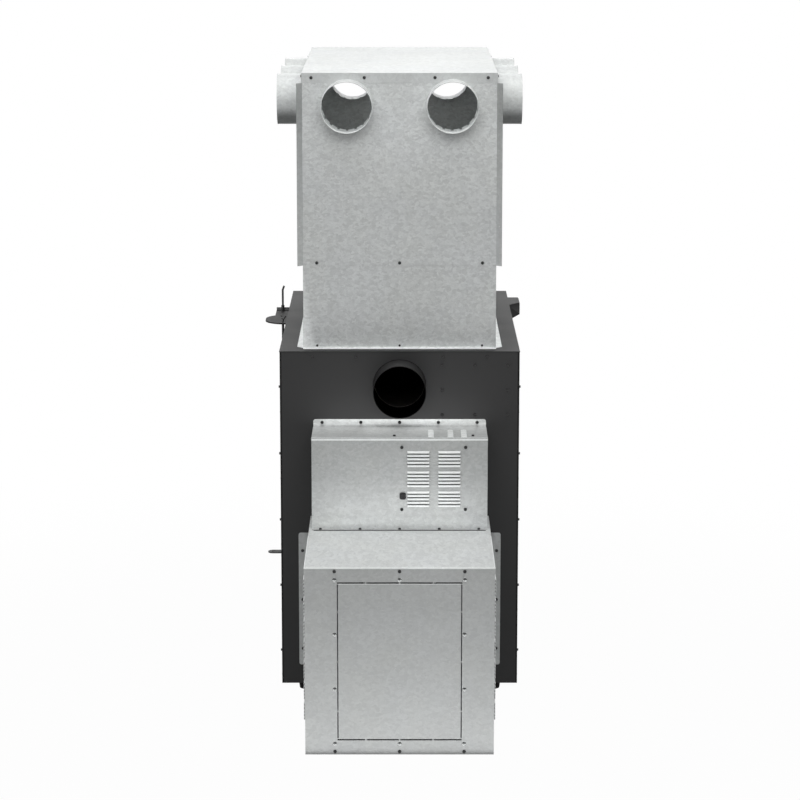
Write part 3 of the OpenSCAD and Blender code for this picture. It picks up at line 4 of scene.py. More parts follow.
import bmesh
import bpy
import numpy as np
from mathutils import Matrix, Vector


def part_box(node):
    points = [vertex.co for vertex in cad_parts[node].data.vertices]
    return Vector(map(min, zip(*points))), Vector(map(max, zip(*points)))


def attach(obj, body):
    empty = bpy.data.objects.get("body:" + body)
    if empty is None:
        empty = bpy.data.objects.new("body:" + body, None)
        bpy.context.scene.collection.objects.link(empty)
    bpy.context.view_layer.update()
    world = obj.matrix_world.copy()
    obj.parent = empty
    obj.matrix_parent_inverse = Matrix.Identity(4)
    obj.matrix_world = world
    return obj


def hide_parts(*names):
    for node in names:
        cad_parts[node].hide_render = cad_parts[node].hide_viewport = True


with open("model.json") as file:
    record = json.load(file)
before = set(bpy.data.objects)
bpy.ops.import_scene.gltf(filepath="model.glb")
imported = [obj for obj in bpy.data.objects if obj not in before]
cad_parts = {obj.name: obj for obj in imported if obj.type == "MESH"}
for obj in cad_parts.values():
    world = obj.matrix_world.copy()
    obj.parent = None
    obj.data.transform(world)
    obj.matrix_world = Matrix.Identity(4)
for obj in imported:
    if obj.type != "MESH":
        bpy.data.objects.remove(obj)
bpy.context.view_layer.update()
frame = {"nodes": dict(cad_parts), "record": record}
cadNodes = frame["nodes"]
mounts = {mount["name"]: mount for mount in frame["record"]["mounts"]}
print("frame loaded:", len(cadNodes), "nodes")

# the photograph's camera: behind the object, a little above it, looking slightly down
cameraView = {"place": (0.0012, -8.28349, 2.57615), "tiltDeg": 78.6254, "lensMm": 126.12, "sensorMm": 36.0,
              "clip": (0.1, 200.0)}


def placeCamera(view):
    data = bpy.data.cameras.new("photoCamera")
    data.sensor_width = view["sensorMm"]
    data.lens = view["lensMm"]
    data.clip_start, data.clip_end = view["clip"]
    camera = bpy.data.objects.new("photoCamera", data)
    camera.location = view["place"]
    camera.rotation_euler = (math.radians(view["tiltDeg"]), 0.0, 0.0)
    bpy.context.scene.collection.objects.link(camera)
    bpy.context.scene.camera = camera


placeCamera(cameraView)


def nodeBox(name):
    # lowest and highest corner of a CAD node, to the micrometre
    return [[round(value, 6) for value in corner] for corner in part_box(name)]


# node graphs for the finishes, the background and the floor


class Graph:
    # add() makes a node and sets its inputs, by name or as i0, i1 and so on
    # a value written as (node, output) is linked, any other is set
    def __init__(self, tree):
        self.tree = tree
        tree.nodes.clear()

    def add(self, kind, props=None, **inputs):
        node = self.tree.nodes.new(kind)
        for key, value in (props or {}).items():
            setattr(node, key, value)
        for key, value in inputs.items():
            numbered = key[0] == "i" and key[1:].isdigit()
            self.put(node.inputs[int(key[1:]) if numbered else key.replace("_", " ")], value)
        return node

    def put(self, socket, value):
        if isinstance(value, tuple) and len(value) == 2 and hasattr(value[0], "outputs"):
            self.tree.links.new(value[0].outputs[value[1]], socket)
        else:
            socket.default_value = value

    def math(self, how, a, b=0.0):
        return (self.add("ShaderNodeMath", {"operation": how}, i0=a, i1=b), 0)

    def vectorMath(self, how, a, **inputs):
        return self.add("ShaderNodeVectorMath", {"operation": how}, i0=a, **inputs)

    def times(self, first, *others):
        for other in others:
            first = self.math("MULTIPLY", first, other)
        return first

    def seen(self):
        # 1 where the ray comes from the camera, a reflection or glass
        path = self.add("ShaderNodeLightPath")
        direct = self.math("MAXIMUM", (path, "Is Camera Ray"), (path, "Is Glossy Ray"))
        return self.math("MAXIMUM", direct, (path, "Is Transmission Ray"))


class Finish(Graph):
    # a material with one shader; its patterns read the piece's Object coordinates
    def __init__(self, name):
        self.material = bpy.data.materials.new(name)
        self.material.use_nodes = True
        super().__init__(self.material.node_tree)
        self.shader = self.add("ShaderNodeBsdfPrincipled")
        self.add("ShaderNodeOutputMaterial", i0=(self.shader, 0))
        self.place = (self.add("ShaderNodeTexCoord"), "Object")

    def set(self, **inputs):
        for key, value in inputs.items():
            self.put(self.shader.inputs[key.replace("_", " ")], value)

    def coords(self, scale):
        return (self.add("ShaderNodeMapping", Scale=scale, Vector=self.place), 0)

    def noise(self, scale, detail=2.0, where=None, rough=0.5):
        where = where or self.place
        return (self.add("ShaderNodeTexNoise", Scale=scale, Detail=detail, Roughness=rough, Vector=where), 0)

    def cells(self, scale, where, **props):
        return self.add("ShaderNodeTexVoronoi", props, Scale=scale, Vector=where)

    def spread(self, value, low, high, start=0.0, end=1.0):
        # low where the value is at the start, high where it is at the end, and even between them
        return (self.add("ShaderNodeMapRange", i0=value, i1=start, i2=end, i3=low, i4=high), 0)

    def share(self, value, start, end):
        return self.spread(value, 0.0, 1.0, start, end)

    def mottle(self, scale, detail, low, high, start=0.3, end=0.7):
        # soft noise as an amount between low and high
        return self.spread(self.noise(scale, detail), low, high, start, end)

    def tinted(self, colour, amount):
        # colour times a grey amount that changes over the surface
        node = self.add("ShaderNodeMix", {"data_type": "RGBA", "blend_type": "MULTIPLY"}, Factor=1.0)
        self.put(node.inputs[6], (*colour, 1.0))
        grey = self.add("ShaderNodeCombineColor", i0=amount, i1=amount, i2=amount)
        self.put(node.inputs[7], (grey, 0))
        return (node, 2)

    def blend(self, share, a, b):
        node = self.add("ShaderNodeMix", {"data_type": "RGBA"}, Factor=share)
        for socket, colour in ((node.inputs[6], a), (node.inputs[7], b)):
            self.put(socket, colour if hasattr(colour[0], "outputs") else (*colour, 1.0))
        return (node, 2)

    def mixed(self, share, a, b):
        return (self.add("ShaderNodeMix", {"data_type": "FLOAT"}, i0=share, i2=a, i3=b), 0)

    def facing(self, axis):
        return (self.add("ShaderNodeSeparateXYZ", i0=(self.add("ShaderNodeNewGeometry"), "Normal")), axis)

    def at(self, axis):
        return (self.add("ShaderNodeSeparateXYZ", i0=self.place), axis)

    def offMiddle(self, axis):
        return self.math("ABSOLUTE", self.at(axis))

    def relief(self, height, depth, strength):
        bump = self.add("ShaderNodeBump", Strength=strength, Distance=depth, Height=height)
        self.put(self.shader.inputs["Normal"], (bump, 0))
        return self.material


def nearly(middle, spread):
    # the two values that far below and above the middle
    return middle - spread, middle + spread


# painted light and shade: each one changes the grey of a finish with where it faces and where it is
# a span in it is (what it follows, axis, start and end of that, the grey at both)


def paintedShadingBy(*spans):
    def paintedShading(f):
        return f.times(*[f.spread(follow(f, axis), *greys, *ends) for follow, axis, ends, greys in spans])
    return paintedShading


# painted light: the lid's hanging edge lighter than its top
lidPaintedLight = paintedShadingBy((Finish.facing, "Z", (0.5, 0.9), (1.18, 1.0)))  # the hanging edge lighter than the top
# painted light and shade: the collars light to below the middle, dark underneath
collarPaintedShading = paintedShadingBy(  # light to below the middle, dark underneath
    (Finish.facing, "Z", (-0.63, -0.25), (0.45, 1.2)),
    (Finish.facing, "Z", (0.2, 0.9), (1.0, 0.76)))
# painted light: the plenum lightest in a band under the lid, and lighter where it faces up
plenumPaintedLight = paintedShadingBy(  # lightest in a band under the lid
    (Finish.at, "Z", (1.48, 1.66), (1.0, 1.17)),
    (Finish.at, "Z", (1.72, 1.8), (1.0, 0.9)),
    (Finish.facing, "Z", (0.4, 0.8), (1.0, 1.4)))
# painted light: the blower box lighter near the floor, darker higher up
blowerPaintedLight = paintedShadingBy((Finish.at, "Z", (0.05, 0.45), (1.07, 0.87)))  # lighter near the floor
# painted shade: the corner seams darker towards the top, under the collars
seamPaintedShade = paintedShadingBy((Finish.at, "Z", (1.69, 1.78), (1.0, 0.72)))  # in the shade of the collars
# painted light and shade: the dimple cups nearly black where they face down, bright where they face up
cupPaintedShading = paintedShadingBy((Finish.facing, "Z", (-0.05, 0.12), (0.12, 1.0)))  # nearly black where it faces down
# painted highlight: the ribs lighter on their round edge
ribPaintedHighlight = paintedShadingBy((Finish.facing, "Z", (0.2, 0.7), (1.35, 1.0)))  # its round edge is lighter
# painted shade: the rear panel dark at both corners, beside the side sheets
rearEdgePaintedShade = paintedShadingBy((Finish.offMiddle, "X", (0.3548, 0.3554), (1.0, 0.25)))  # dark at both corners

# a piece's top is what faces up by more than this, with a short fade between the two
facingUp = (0.5, 0.8)
controlPaintedLight = {
    "front": ((Finish.at, "Z", (0.565, 0.59), (1.4, 1.0)), (Finish.at, "Z", (0.60, 0.71), (1.0, 0.77))),
    "flangeStart": (-0.02, -0.015), "flange": 1.2,
    "topY": (-0.11, -0.02), "top": (0.8, 1.08),
}
restPaintedLight = {"lipY": (0.9395, 0.9405), "rimAndLip": (0.15, 6.5), "top": 0.9}


def controlPaintedShading(f):
    # painted light and shade: the front lighter low down, the top lighter towards the casing, and its rear
    # flange lightest
    v = controlPaintedLight
    front = paintedShadingBy(*v["front"])(f)
    upright = f.mixed(f.share(f.at("Y"), *v["flangeStart"]), front, v["flange"])
    return f.mixed(f.share(f.facing("Z"), *facingUp), upright, f.spread(f.at("Y"), *v["top"], *v["topY"]))


def restPaintedShading(f):
    # painted light and shade: dull on top, black round the rim, light on the lip at the far end
    v = restPaintedLight
    upright = f.spread(f.at("Y"), *v["rimAndLip"], *v["lipY"])
    return f.mixed(f.share(f.facing("Z"), *facingUp), upright, v["top"])


# a mottle in these dictionaries is (scale, detail, low, high) and where wanted (start, end) of the noise
# a relief is (depth in metres, strength)

# zinc sheet: flat crystals of slightly different grey, a faint cloud and a cool or warm cast
zincSheet = {
    "tone": 0.64, "cool": (0.967, 0.994, 0.992), "warm": (0.972, 0.998, 0.984), "metal": 0.08, "shine": 0.3,
    "crystal": 0.0095, "contrast": 0.1, "grainsPerCrystal": 2.4, "grainContrast": 0.5,
    "wanderScale": 55.0, "wanderDetail": 3.0, "wander": 0.016,
    "cloud": (5.0, 3.0, 0.965, 1.035), "speckle": (420.0, 2.0, 0.97, 1.03, 0.0, 1.0),
    "cast": (7.0, 2.0, 0.0, 1.0, 0.35, 0.65), "rough": 0.46, "roughSpread": 0.07,
    "wave": (3.2, 1.0, 0.0, 1.0, 0.0, 1.0), "waveHeight": 9.0, "edgeHeight": 0.5, "edgeWidth": 0.08,
    "relief": (0.00022, 0.55),
}


def galvanised(name, tone=1.0, contrast=1.0, rough=0.0, stretch=(1.0, 1.0, 1.35), paintedShading=None):
    f = Finish(name)
    v = zincSheet
    wander = f.add("ShaderNodeTexNoise", Scale=v["wanderScale"], Detail=v["wanderDetail"], Vector=f.place)
    shifted = f.vectorMath("SCALE", (wander, "Color"), Scale=v["wander"])
    warped = (f.vectorMath("ADD", f.coords(stretch), i1=(shifted, 0)), 0)
    bigScale = 1.0 / v["crystal"]
    big = f.cells(bigScale, warped)
    small = f.cells(v["grainsPerCrystal"] / v["crystal"], warped)
    bigGrey = f.add("ShaderNodeSeparateColor", i0=(big, "Color"))
    smallGrey = f.add("ShaderNodeSeparateColor", i0=(small, "Color"))
    differ = v["contrast"] * contrast
    crystals = f.spread((bigGrey, 0), *nearly(1.0, differ))
    grains = f.spread((smallGrey, 1), *nearly(1.0, differ * v["grainContrast"]))
    grey = f.times(f.times(crystals, grains), f.times(f.mottle(*v["cloud"]), f.mottle(*v["speckle"])))
    # painted light and shade multiplied into the zinc's grey
    if paintedShading:
        grey = f.times(grey, paintedShading(f))
    cool, warm = (f.tinted([v["tone"] * tone * c for c in v[cast]], grey) for cast in ("cool", "warm"))
    f.set(Base_Color=f.blend(f.mottle(*v["cast"]), cool, warm), Metallic=v["metal"])
    f.set(Specular_IOR_Level=v["shine"])
    f.set(Roughness=f.spread((bigGrey, 1), *nearly(v["rough"] + rough, v["roughSpread"])))
    crystalEdge = f.cells(bigScale, warped, feature="DISTANCE_TO_EDGE")
    edges = f.spread((crystalEdge, 0), 0.0, v["edgeHeight"], 0.0, v["edgeWidth"])
    wave = f.times(f.mottle(*v["wave"]), v["waveHeight"])
    return f.relief(f.math("ADD", wave, f.math("ADD", edges, (smallGrey, 2))), *v["relief"])


# powder coat: dark, slightly uneven, with a fine orange peel
powderPaint = {
    "tone": (0.038, 0.038, 0.0383), "patch": (3.5, 4.0, 0.97, 1.03),
    "fleck": (420.0, 2.0, 0.94, 1.06, 0.0, 1.0), "rough": 0.46, "roughSpread": 0.02, "roughNoise": (9.0, 3.0),
    "peel": 900.0, "relief": (0.00008, 0.5),
}


def powderCoat(name, tone=1.0, rough=0.0, shine=0.2, paintedShading=None):
    f = Finish(name)
    v = powderPaint
    grey = f.times(f.mottle(*v["patch"]), f.mottle(*v["fleck"]))
    # painted light and shade multiplied into the paint's grey
    if paintedShading:
        grey = f.times(grey, paintedShading(f))
    f.set(Base_Color=f.tinted([c * tone for c in v["tone"]], grey), Specular_IOR_Level=shine)
    f.set(Roughness=f.mottle(*v["roughNoise"], *nearly(v["rough"] + rough, v["roughSpread"])))
    return f.relief(f.noise(v["peel"]), *v["relief"])


# flue collar: nearly black inside the bore, soot there made as dark as painted shade, and worn paint outside
# it and on the end, with painted light lighter on top; its axis runs along Y
# rough and shine are those of the soot and of the paint
sootShadeAndPaint = {
    "sootAndShade": (0.0008, 0.0008, 0.0008), "paint": (0.02, 0.02, 0.02), "edge": (0.0003, 0.0006),
    "rearFaceY": (-0.002, -0.001), "worn": (60.0, 3.0, 0.85, 1.15), "up": (0.35, 0.95), "paintedTopLightGrey": (0.12, 1.0),
    "rough": (0.95, 0.5), "shine": (0.0, 0.2), "peel": 900.0, "relief": (0.00006, 0.5),
}


def sootAndShadeCollar(name, mount):
    # painted where it is further from the axis than the bore's radius and outside the casing
    f = Finish(name)
    v = sootShadeAndPaint
    bore = mount["dims"]["r_mm"] / 1000
    spot = f.vectorMath("SUBTRACT", f.place, i1=(0.0, 0.0, mount["pos_m"][2]))
    flat = f.vectorMath("MULTIPLY", (spot, 0), i1=(1.0, 0.0, 1.0))
    reach = (f.vectorMath("LENGTH", (flat, 0)), "Value")
    outside = f.spread(f.at("Y"), 1.0, 0.0, *v["rearFaceY"])
    painted = f.times(f.share(reach, *(bore + step for step in v["edge"])), outside)
    # painted light: the paint lighter where it faces up and darker down the sides
    grey = f.times(f.mottle(*v["worn"]), f.spread(f.facing("Z"), *v["paintedTopLightGrey"], *v["up"]))
    f.set(Base_Color=f.blend(painted, v["sootAndShade"], f.tinted(v["paint"], grey)))
    f.set(Roughness=f.spread(painted, *v["rough"]), Specular_IOR_Level=f.spread(painted, *v["shine"]))
    return f.relief(f.noise(v["peel"]), *v["relief"])


# iron and painted steel: smutty colour and a grained face
ironFace = {"smut": (18.0, 4.0, 0.8, 1.2), "roughNoise": (40.0, 3.0), "roughSpread": 0.08, "grainDetail": 3.0,
            "strength": 0.6}


def darkIron(name, tone, rough, metal=0.0, grain=300.0, depth=0.0001):
    f = Finish(name)
    v = ironFace
    f.set(Base_Color=f.tinted(tone, f.mottle(*v["smut"])), Metallic=metal)
    f.set(Roughness=f.mottle(*v["roughNoise"], *nearly(rough, v["roughSpread"])))
    return f.relief(f.noise(grain, v["grainDetail"]), depth, v["strength"])


# bare metal with fine lines at right angles to the axis that has the largest stretch
brushedFace = {"noise": (60.0, 3.0), "grey": (0.88, 1.1), "roughSpread": 0.08, "between": (0.3, 0.7),
               "relief": (0.00003, 0.5)}


def brushed(name, tone, rough, stretch=(1.0, 1.0, 40.0)):
    f = Finish(name)
    v = brushedFace
    hair = f.noise(*v["noise"], f.coords(stretch))
    f.set(Base_Color=f.tinted(tone, f.spread(hair, *v["grey"], *v["between"])), Metallic=1.0)
    f.set(Roughness=f.spread(hair, *nearly(rough, v["roughSpread"]), *v["between"]))
    return f.relief(hair, *v["relief"])


# firebrick and ceramic board: sandy, scorched in places
ceramicFace = {"sandDetail": 5.0, "sand": (0.82, 1.12), "scorch": (6.0, 3.0, 0.75, 1.05, 0.35, 0.65),
               "rough": 0.95, "strength": 0.8}


def ceramic(name, tone, grain=130.0, pits=0.0006):
    f = Finish(name)
    v = ceramicFace
    sand = f.mottle(grain, v["sandDetail"], *v["sand"])
    f.set(Base_Color=f.tinted(tone, f.times(sand, f.mottle(*v["scorch"]))), Roughness=v["rough"])
    return f.relief(f.noise(grain, v["sandDetail"]), pits, v["strength"])


footRubber = {"tone": (0.003, 0.003, 0.003), "dust": (60.0, 3.0, 0.8, 1.3, 0.0, 1.0), "rough": 0.8,
              "shine": 0.12, "grain": 500.0, "relief": (0.0001, 0.5)}


def rubber(name):
    f = Finish(name)
    v = footRubber
    f.set(Base_Color=f.tinted(v["tone"], f.mottle(*v["dust"])))
    f.set(Roughness=v["rough"], Specular_IOR_Level=v["shine"])
    return f.relief(f.noise(v["grain"]), *v["relief"])


plasticFace = {"uneven": (30.0, 2.0, 0.92, 1.08, 0.0, 1.0), "shine": 0.5, "grain": (1500.0, 1.0),
               "relief": (0.00004, 0.4)}


def mouldedPlastic(name, tone, rough):
    f = Finish(name)
    v = plasticFace
    f.set(Base_Color=f.tinted(tone, f.mottle(*v["uneven"])), Roughness=rough, Specular_IOR_Level=v["shine"])
    return f.relief(f.noise(*v["grain"]), *v["relief"])


doorPane = {"tint": (0.93, 0.96, 0.95, 1.0), "ior": 1.47, "haze": (12.0, 3.0, 0.02, 0.09, 0.4, 0.7)}


def clearGlass(name):
    f = Finish(name)
    v = doorPane
    f.set(Base_Color=v["tint"], Transmission_Weight=1.0, IOR=v["ior"], Roughness=f.mottle(*v["haze"]))
    return f.material


gripWood = {"noise": (70.0, 4.0), "along": (1.0, 1.0, 0.12), "noiseRough": 0.6, "between": (0.35, 0.65),
            "dark": (0.16, 0.07, 0.028), "light": (0.36, 0.19, 0.085), "rough": 0.42, "relief": (0.0002, 0.4)}


def wood(name):
    f = Finish(name)
    v = gripWood
    grain = f.noise(*v["noise"], f.coords(v["along"]), v["noiseRough"])
    f.set(Base_Color=f.blend(f.share(grain, *v["between"]), v["dark"], v["light"]), Roughness=v["rough"])
    return f.relief(grain, *v["relief"])


# bands of light and dark: the twist of the glass rope, the pleats of the filter
ropeTwist = {"way": "DIAGONAL", "scale": 60.0, "distortion": 0.6, "tone": (0.62, 0.61, 0.57),
             "grey": (0.72, 1.1), "rough": 0.95, "relief": (0.0012, 0.9)}
filterPleats = {"way": "X", "scale": 13.0, "distortion": 0.0, "tone": (0.72, 0.75, 0.79),
                "grey": (0.7, 1.05), "rough": 1.0, "relief": (0.006, 0.9)}


def banded(name, v):
    f = Finish(name)
    props = {"wave_type": "BANDS", "bands_direction": v["way"]}
    wave = f.add("ShaderNodeTexWave", props, Scale=v["scale"], Distortion=v["distortion"], Vector=f.place)
    f.set(Base_Color=f.tinted(v["tone"], f.spread((wave, 1), *v["grey"])), Roughness=v["rough"])
    return f.relief((wave, 1), *v["relief"])


boardTracks = {"scale": 140.0, "random": 0.35, "between": (0.03, 0.06), "track": (0.1, 0.3, 0.12),
               "ground": (0.02, 0.13, 0.06), "rough": 0.35, "relief": (0.0002, 0.4)}


def boardFace(name):
    f = Finish(name)
    v = boardTracks
    tracks = f.cells(v["scale"], f.place, feature="DISTANCE_TO_EDGE")
    f.put(tracks.inputs["Randomness"], v["random"])
    onGround = f.share((tracks, 0), *v["between"])
    f.set(Base_Color=f.blend(onGround, v["track"], v["ground"]), Roughness=v["rough"])
    return f.relief((tracks, 0), *v["relief"])


finishTable = {
    # each zinc copy has its own tone as painted light and shade: the tabs, bends, louvres, ribs and cups are
    # painted much lighter, the blower's lid a little lighter, and the lid, seams, blower box and control box
    # darker
    "zincPlenum": (galvanised, {"paintedShading": plenumPaintedLight}),
    "zincLid": (galvanised, {"tone": 0.84, "contrast": 0.5, "rough": 0.14, "stretch": (1.0, 0.5, 1.0),
                             "paintedShading": lidPaintedLight}),
    "zincCollar": (galvanised, {"tone": 0.98, "contrast": 0.7, "rough": 0.06, "paintedShading": collarPaintedShading}),
    "zincTab": (galvanised, {"tone": 1.5, "contrast": 0.2, "rough": 0.1}),
    "zincSeam": (galvanised, {"tone": 0.885, "contrast": 0.6, "paintedShading": seamPaintedShade}),
    "zincBlower": (galvanised, {"tone": 0.93, "contrast": 0.55, "paintedShading": blowerPaintedLight}),
    "zincBlowerLid": (galvanised, {"tone": 1.03, "contrast": 0.8, "rough": 0.04, "stretch": (1.0, 0.4, 1.0)}),
    "zincControl": (galvanised, {"tone": 0.9, "contrast": 0.8, "paintedShading": controlPaintedShading}),
    "zincBend": (galvanised, {"tone": 1.4, "contrast": 0.3, "rough": -0.06}),
    "zincLouvre": (galvanised, {"tone": 1.42, "contrast": 0.25}),
    "zincRib": (galvanised, {"tone": 1.27, "contrast": 0.9, "paintedShading": ribPaintedHighlight}),
    "zincCup": (galvanised, {"tone": 1.5, "contrast": 0.1, "paintedShading": cupPaintedShading}),
    "zincHidden": (galvanised, {"tone": 0.9}),
    "casingPaint": (powderCoat, {}),
    "casingRearPaint": (powderCoat, {"paintedShading": rearEdgePaintedShade}),
    "restPaint": (powderCoat, {"rough": 0.1, "shine": 0.08, "paintedShading": restPaintedShading}),
    "casingTopPaint": (powderCoat, {"tone": 1.02, "rough": 0.1, "shine": 0.1}),
    "collarPaint": (sootAndShadeCollar, {"mount": mounts["flue_outlet"]}),
    # near-black strips: the tool rest's slots, and painted shadow in the louvre mouths, under the control
    # box's foot and under the plenum's foot
    "foamStrip": (powderCoat, {"tone": 0.3, "rough": 0.3, "shine": 0.0}),
    "blackIron": (darkIron, {"tone": (0.022, 0.022, 0.022), "rough": 0.5}),
    "screwBlack": (darkIron, {"tone": (0.01, 0.01, 0.0105), "rough": 0.3}),
    "screwPainted": (darkIron, {"tone": (0.002, 0.002, 0.002), "rough": 0.24}),
    "coverPaint": (powderCoat, {"tone": 0.35, "rough": 0.05, "shine": 0.1}),
    "plateSteel": (darkIron, {"tone": (0.06, 0.055, 0.05), "rough": 0.6, "metal": 0.5, "grain": 120.0,
                              "depth": 0.0002}),
    "grateIron": (darkIron, {"tone": (0.05, 0.048, 0.046), "rough": 0.75, "metal": 0.3, "grain": 240.0,
                             "depth": 0.0005}),
    "stainless": (brushed, {"tone": (0.5, 0.48, 0.46), "rough": 0.34, "stretch": (30.0, 1.0, 1.0)}),
    "brightSteel": (brushed, {"tone": (0.62, 0.62, 0.62), "rough": 0.28}),
    "fireBrick": (ceramic, {"tone": (0.5, 0.38, 0.24)}),
    "ceramicBoard": (ceramic, {"tone": (0.66, 0.62, 0.54), "grain": 60.0, "pits": 0.001}),
    "rubberFoot": (rubber, {}),
    "blackPlastic": (mouldedPlastic, {"tone": (0.009, 0.009, 0.01), "rough": 0.32}),
    "buttonPlastic": (mouldedPlastic, {"tone": (0.014, 0.014, 0.015), "rough": 0.24}),
    "motorPaint": (mouldedPlastic, {"tone": (0.12, 0.13, 0.14), "rough": 0.4}),
    "laminations": (brushed, {"tone": (0.4, 0.31, 0.18), "rough": 0.5, "stretch": (1.0, 60.0, 1.0)}),
    "glassPane": (clearGlass, {}),
    "turnedWood": (wood, {}),
    "glassRope": (banded, {"v": ropeTwist}),
    "filterFelt": (banded, {"v": filterPleats}),
    "circuitBoard": (boardFace, {}),
}
finishes = {name: make(name, **looks) for name, (make, looks) in finishTable.items()}
print("finishes made:", len(finishes))

nodeFinish = {
    "casingPaint": ["base_pan", "left_side_panel", "right_side_panel", "front_panel"],
    "casingRearPaint": ["rear_panel"],
    "restPaint": ["tool_rest"],
    "coverPaint": ["damper_motor_cover"],
    "casingTopPaint": ["top_panel"],
    "rubberFoot": ["levelling_feet"],
    "screwPainted": ["casing_screws"],
    "screwBlack": ["blower_screws", "control_screws", "plenum_screws"],
    "zincHidden": ["rear_inner_plate", "combustion_air_duct", "scroll_housing", "blower_wheel",
                   "motor_bracket", "filter_rack"],
    "plateSteel": ["firebox_shell", "heat_exchanger"],
    "fireBrick": ["fire_bricks"],
    "grateIron": ["ash_grate"],
    "ceramicBoard": ["baffle_board"],
    "stainless": ["secondary_air_tubes"],
    "collarPaint": ["flue_collar"],
    "blackIron": ["ash_drawer", "ash_drawer_handle", "loading_door", "hinge_brackets", "door_handle",
                  "latch_keeper", "poker", "side_eye_tab"],
    "brightSteel": ["hinge_pins", "damper_flap", "motor_shaft"],
    "glassPane": ["door_glass"],
    "glassRope": ["door_gasket"],
    "turnedWood": ["handle_grip"],
    "motorPaint": ["damper_motor", "blower_motor"],
    "zincBlower": ["blower_box", "blower_rear_panel"],
    "zincBlowerLid": ["blower_box_lid"],
    "filterFelt": ["air_filter"],
    "zincControl": ["control_box"],
    "circuitBoard": ["control_board"],
    "laminations": ["transformer"],
    "blackPlastic": ["switch_bezel"],
    "buttonPlastic": ["switch_button"],
    "zincPlenum": ["plenum_lower_box", "plenum_rear_panel", "plenum_front_panel", "plenum_left_panel",
                   "plenum_right_panel"],
    "zincSeam": ["corner_seams"],
    "zincLid": ["plenum_lid"],
    "zincCollar": ["end_collars", "side_collars"],
}
finishOf = {name: finish for finish, names in nodeFinish.items() for name in names}


def dressNodes():
    for name, finish in finishOf.items():
        data = cadNodes[name].data
        data.materials.clear()
        data.materials.append(finishes[finish])
    print("nodes dressed, without a finish:", sorted(set(cadNodes) - set(finishOf)))


dressNodes()

# helpers for the new pieces; faces that meet at less than these angles are shaded as one
smoothDeg = {"folded": 35, "collar": 50, "strip": 40}


def newPiece(name, points, faces, finish, slot, body="furnace"):
    mesh = bpy.data.meshes.new(name)
    mesh.from_pydata(np.asarray(points, float).tolist(), [], faces)
    mesh.validate()
    piece = bpy.data.objects.new(name, mesh)
    bpy.context.scene.collection.objects.link(piece)
    mesh.materials.append(finishes[finish])
    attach(piece, body)
    return piece


def smoothBy(mesh, degrees):
    mesh.polygons.foreach_set("use_smooth", np.ones(len(mesh.polygons), bool))
    mesh.set_sharp_from_angle(angle=math.radians(degrees))


def faceOutwards(mesh):
    bm = bmesh.new()
    bm.from_mesh(mesh)
    bmesh.ops.recalc_face_normals(bm, faces=bm.faces)
    bm.to_mesh(mesh)
    bm.free()


def joinParts(parts):
    points, faces, count = [], [], 0
    for partPoints, partFaces in parts:
        points.append(partPoints)
        faces += [[int(corner) + count for corner in face] for face in partFaces]
        count += len(partPoints)
    return np.vstack(points), faces


def makeStatic(name, parts, finish, slot):
    piece = newPiece(name, *joinParts(parts), finish, slot)
    faceOutwards(piece.data)
    smoothBy(piece.data, smoothDeg["strip"])


def placed(local, place, along, outward, up=(0.0, 0.0, 1.0)):
    # local axes are along, outward and up
    basis = np.array([along, outward, up], float)
    return np.asarray(local) @ basis + np.asarray(place, float)


def quadsBetween(n, m):
    # quads between n closed loops of m points each
    i, j = np.meshgrid(np.arange(n - 1), np.arange(m), indexing="ij")
    nextJ = (j + 1) % m
    quads = np.stack([i * m + j, i * m + nextJ, (i + 1) * m + nextJ, (i + 1) * m + j], axis=-1)
    return quads.reshape(-1, 4)


def stackedLoops(loops):
    # an array of closed loops joined by quads, with a cap on the first and on the last
    n, m = loops.shape[:2]
    caps = [list(range(m))[::-1], list(range((n - 1) * m, n * m))]
    return loops.reshape(-1, 3), quadsBetween(n, m).tolist() + caps


def carried(loop, places, axis):
    # a closed flat loop repeated at places along an axis (0, 1 or 2); its columns are the other two, in order
    loop, places = np.asarray(loop, float), np.asarray(places, float)
    loops = np.broadcast_to(loop, (len(places), *loop.shape))
    return stackedLoops(np.insert(loops, axis, places[:, None], axis=2))


def turnedSurface(profile, around):
    # a closed profile of (radius, height) turned about the height axis: x = r cos a, y = r sin a, z = h
    profile = np.asarray(profile, float)
    a = np.linspace(0, 2 * np.pi, around, endpoint=False)
    r, h = profile[:, 0], np.tile(profile[:, 1], (around, 1))
    grid = np.stack([np.outer(np.cos(a), r), np.outer(np.sin(a), r), h], axis=-1)
    # the quads close on themselves both ways
    n, m = grid.shape[:2]
    i, j = np.meshgrid(np.arange(n), np.arange(m), indexing="ij")
    nextI, nextJ = (i + 1) % n, (j + 1) % m
    quads = np.stack([i * m + j, nextI * m + j, nextI * m + nextJ, i * m + nextJ], axis=-1)
    return grid.reshape(-1, 3), quads.reshape(-1, 4)


# folded sheets: a merged copy of a node, with a small radius where two wide faces meet
foldRules = {"merge": 2e-6, "flatDeg": 0.4, "foldDeg": 40, "wide": 0.006, "steps": 3, "weight": 100}
foldedSheets = {  # radius of the bends and slot
    "plenum_lid": (0.0016, "galvanised"),
    "plenum_lower_box": (0.0014, "galvanised"),
    "top_panel": (0.0018, "casing_paint"),
    "control_box": (0.0032, "galvanised"),
    "blower_box_lid": (0.0016, "galvanised"),
    "blower_box": (0.0014, "galvanised"),
    "damper_motor_cover": (0.0016, "casing_paint"),
    "base_pan": (0.0016, "casing_paint"),
    "blower_rear_panel": (0.001, "galvanised"),
}


def faceWidth(face):
    # area over the longest edge
    return face.calc_area() / max(edge.calc_length() for edge in face.edges)


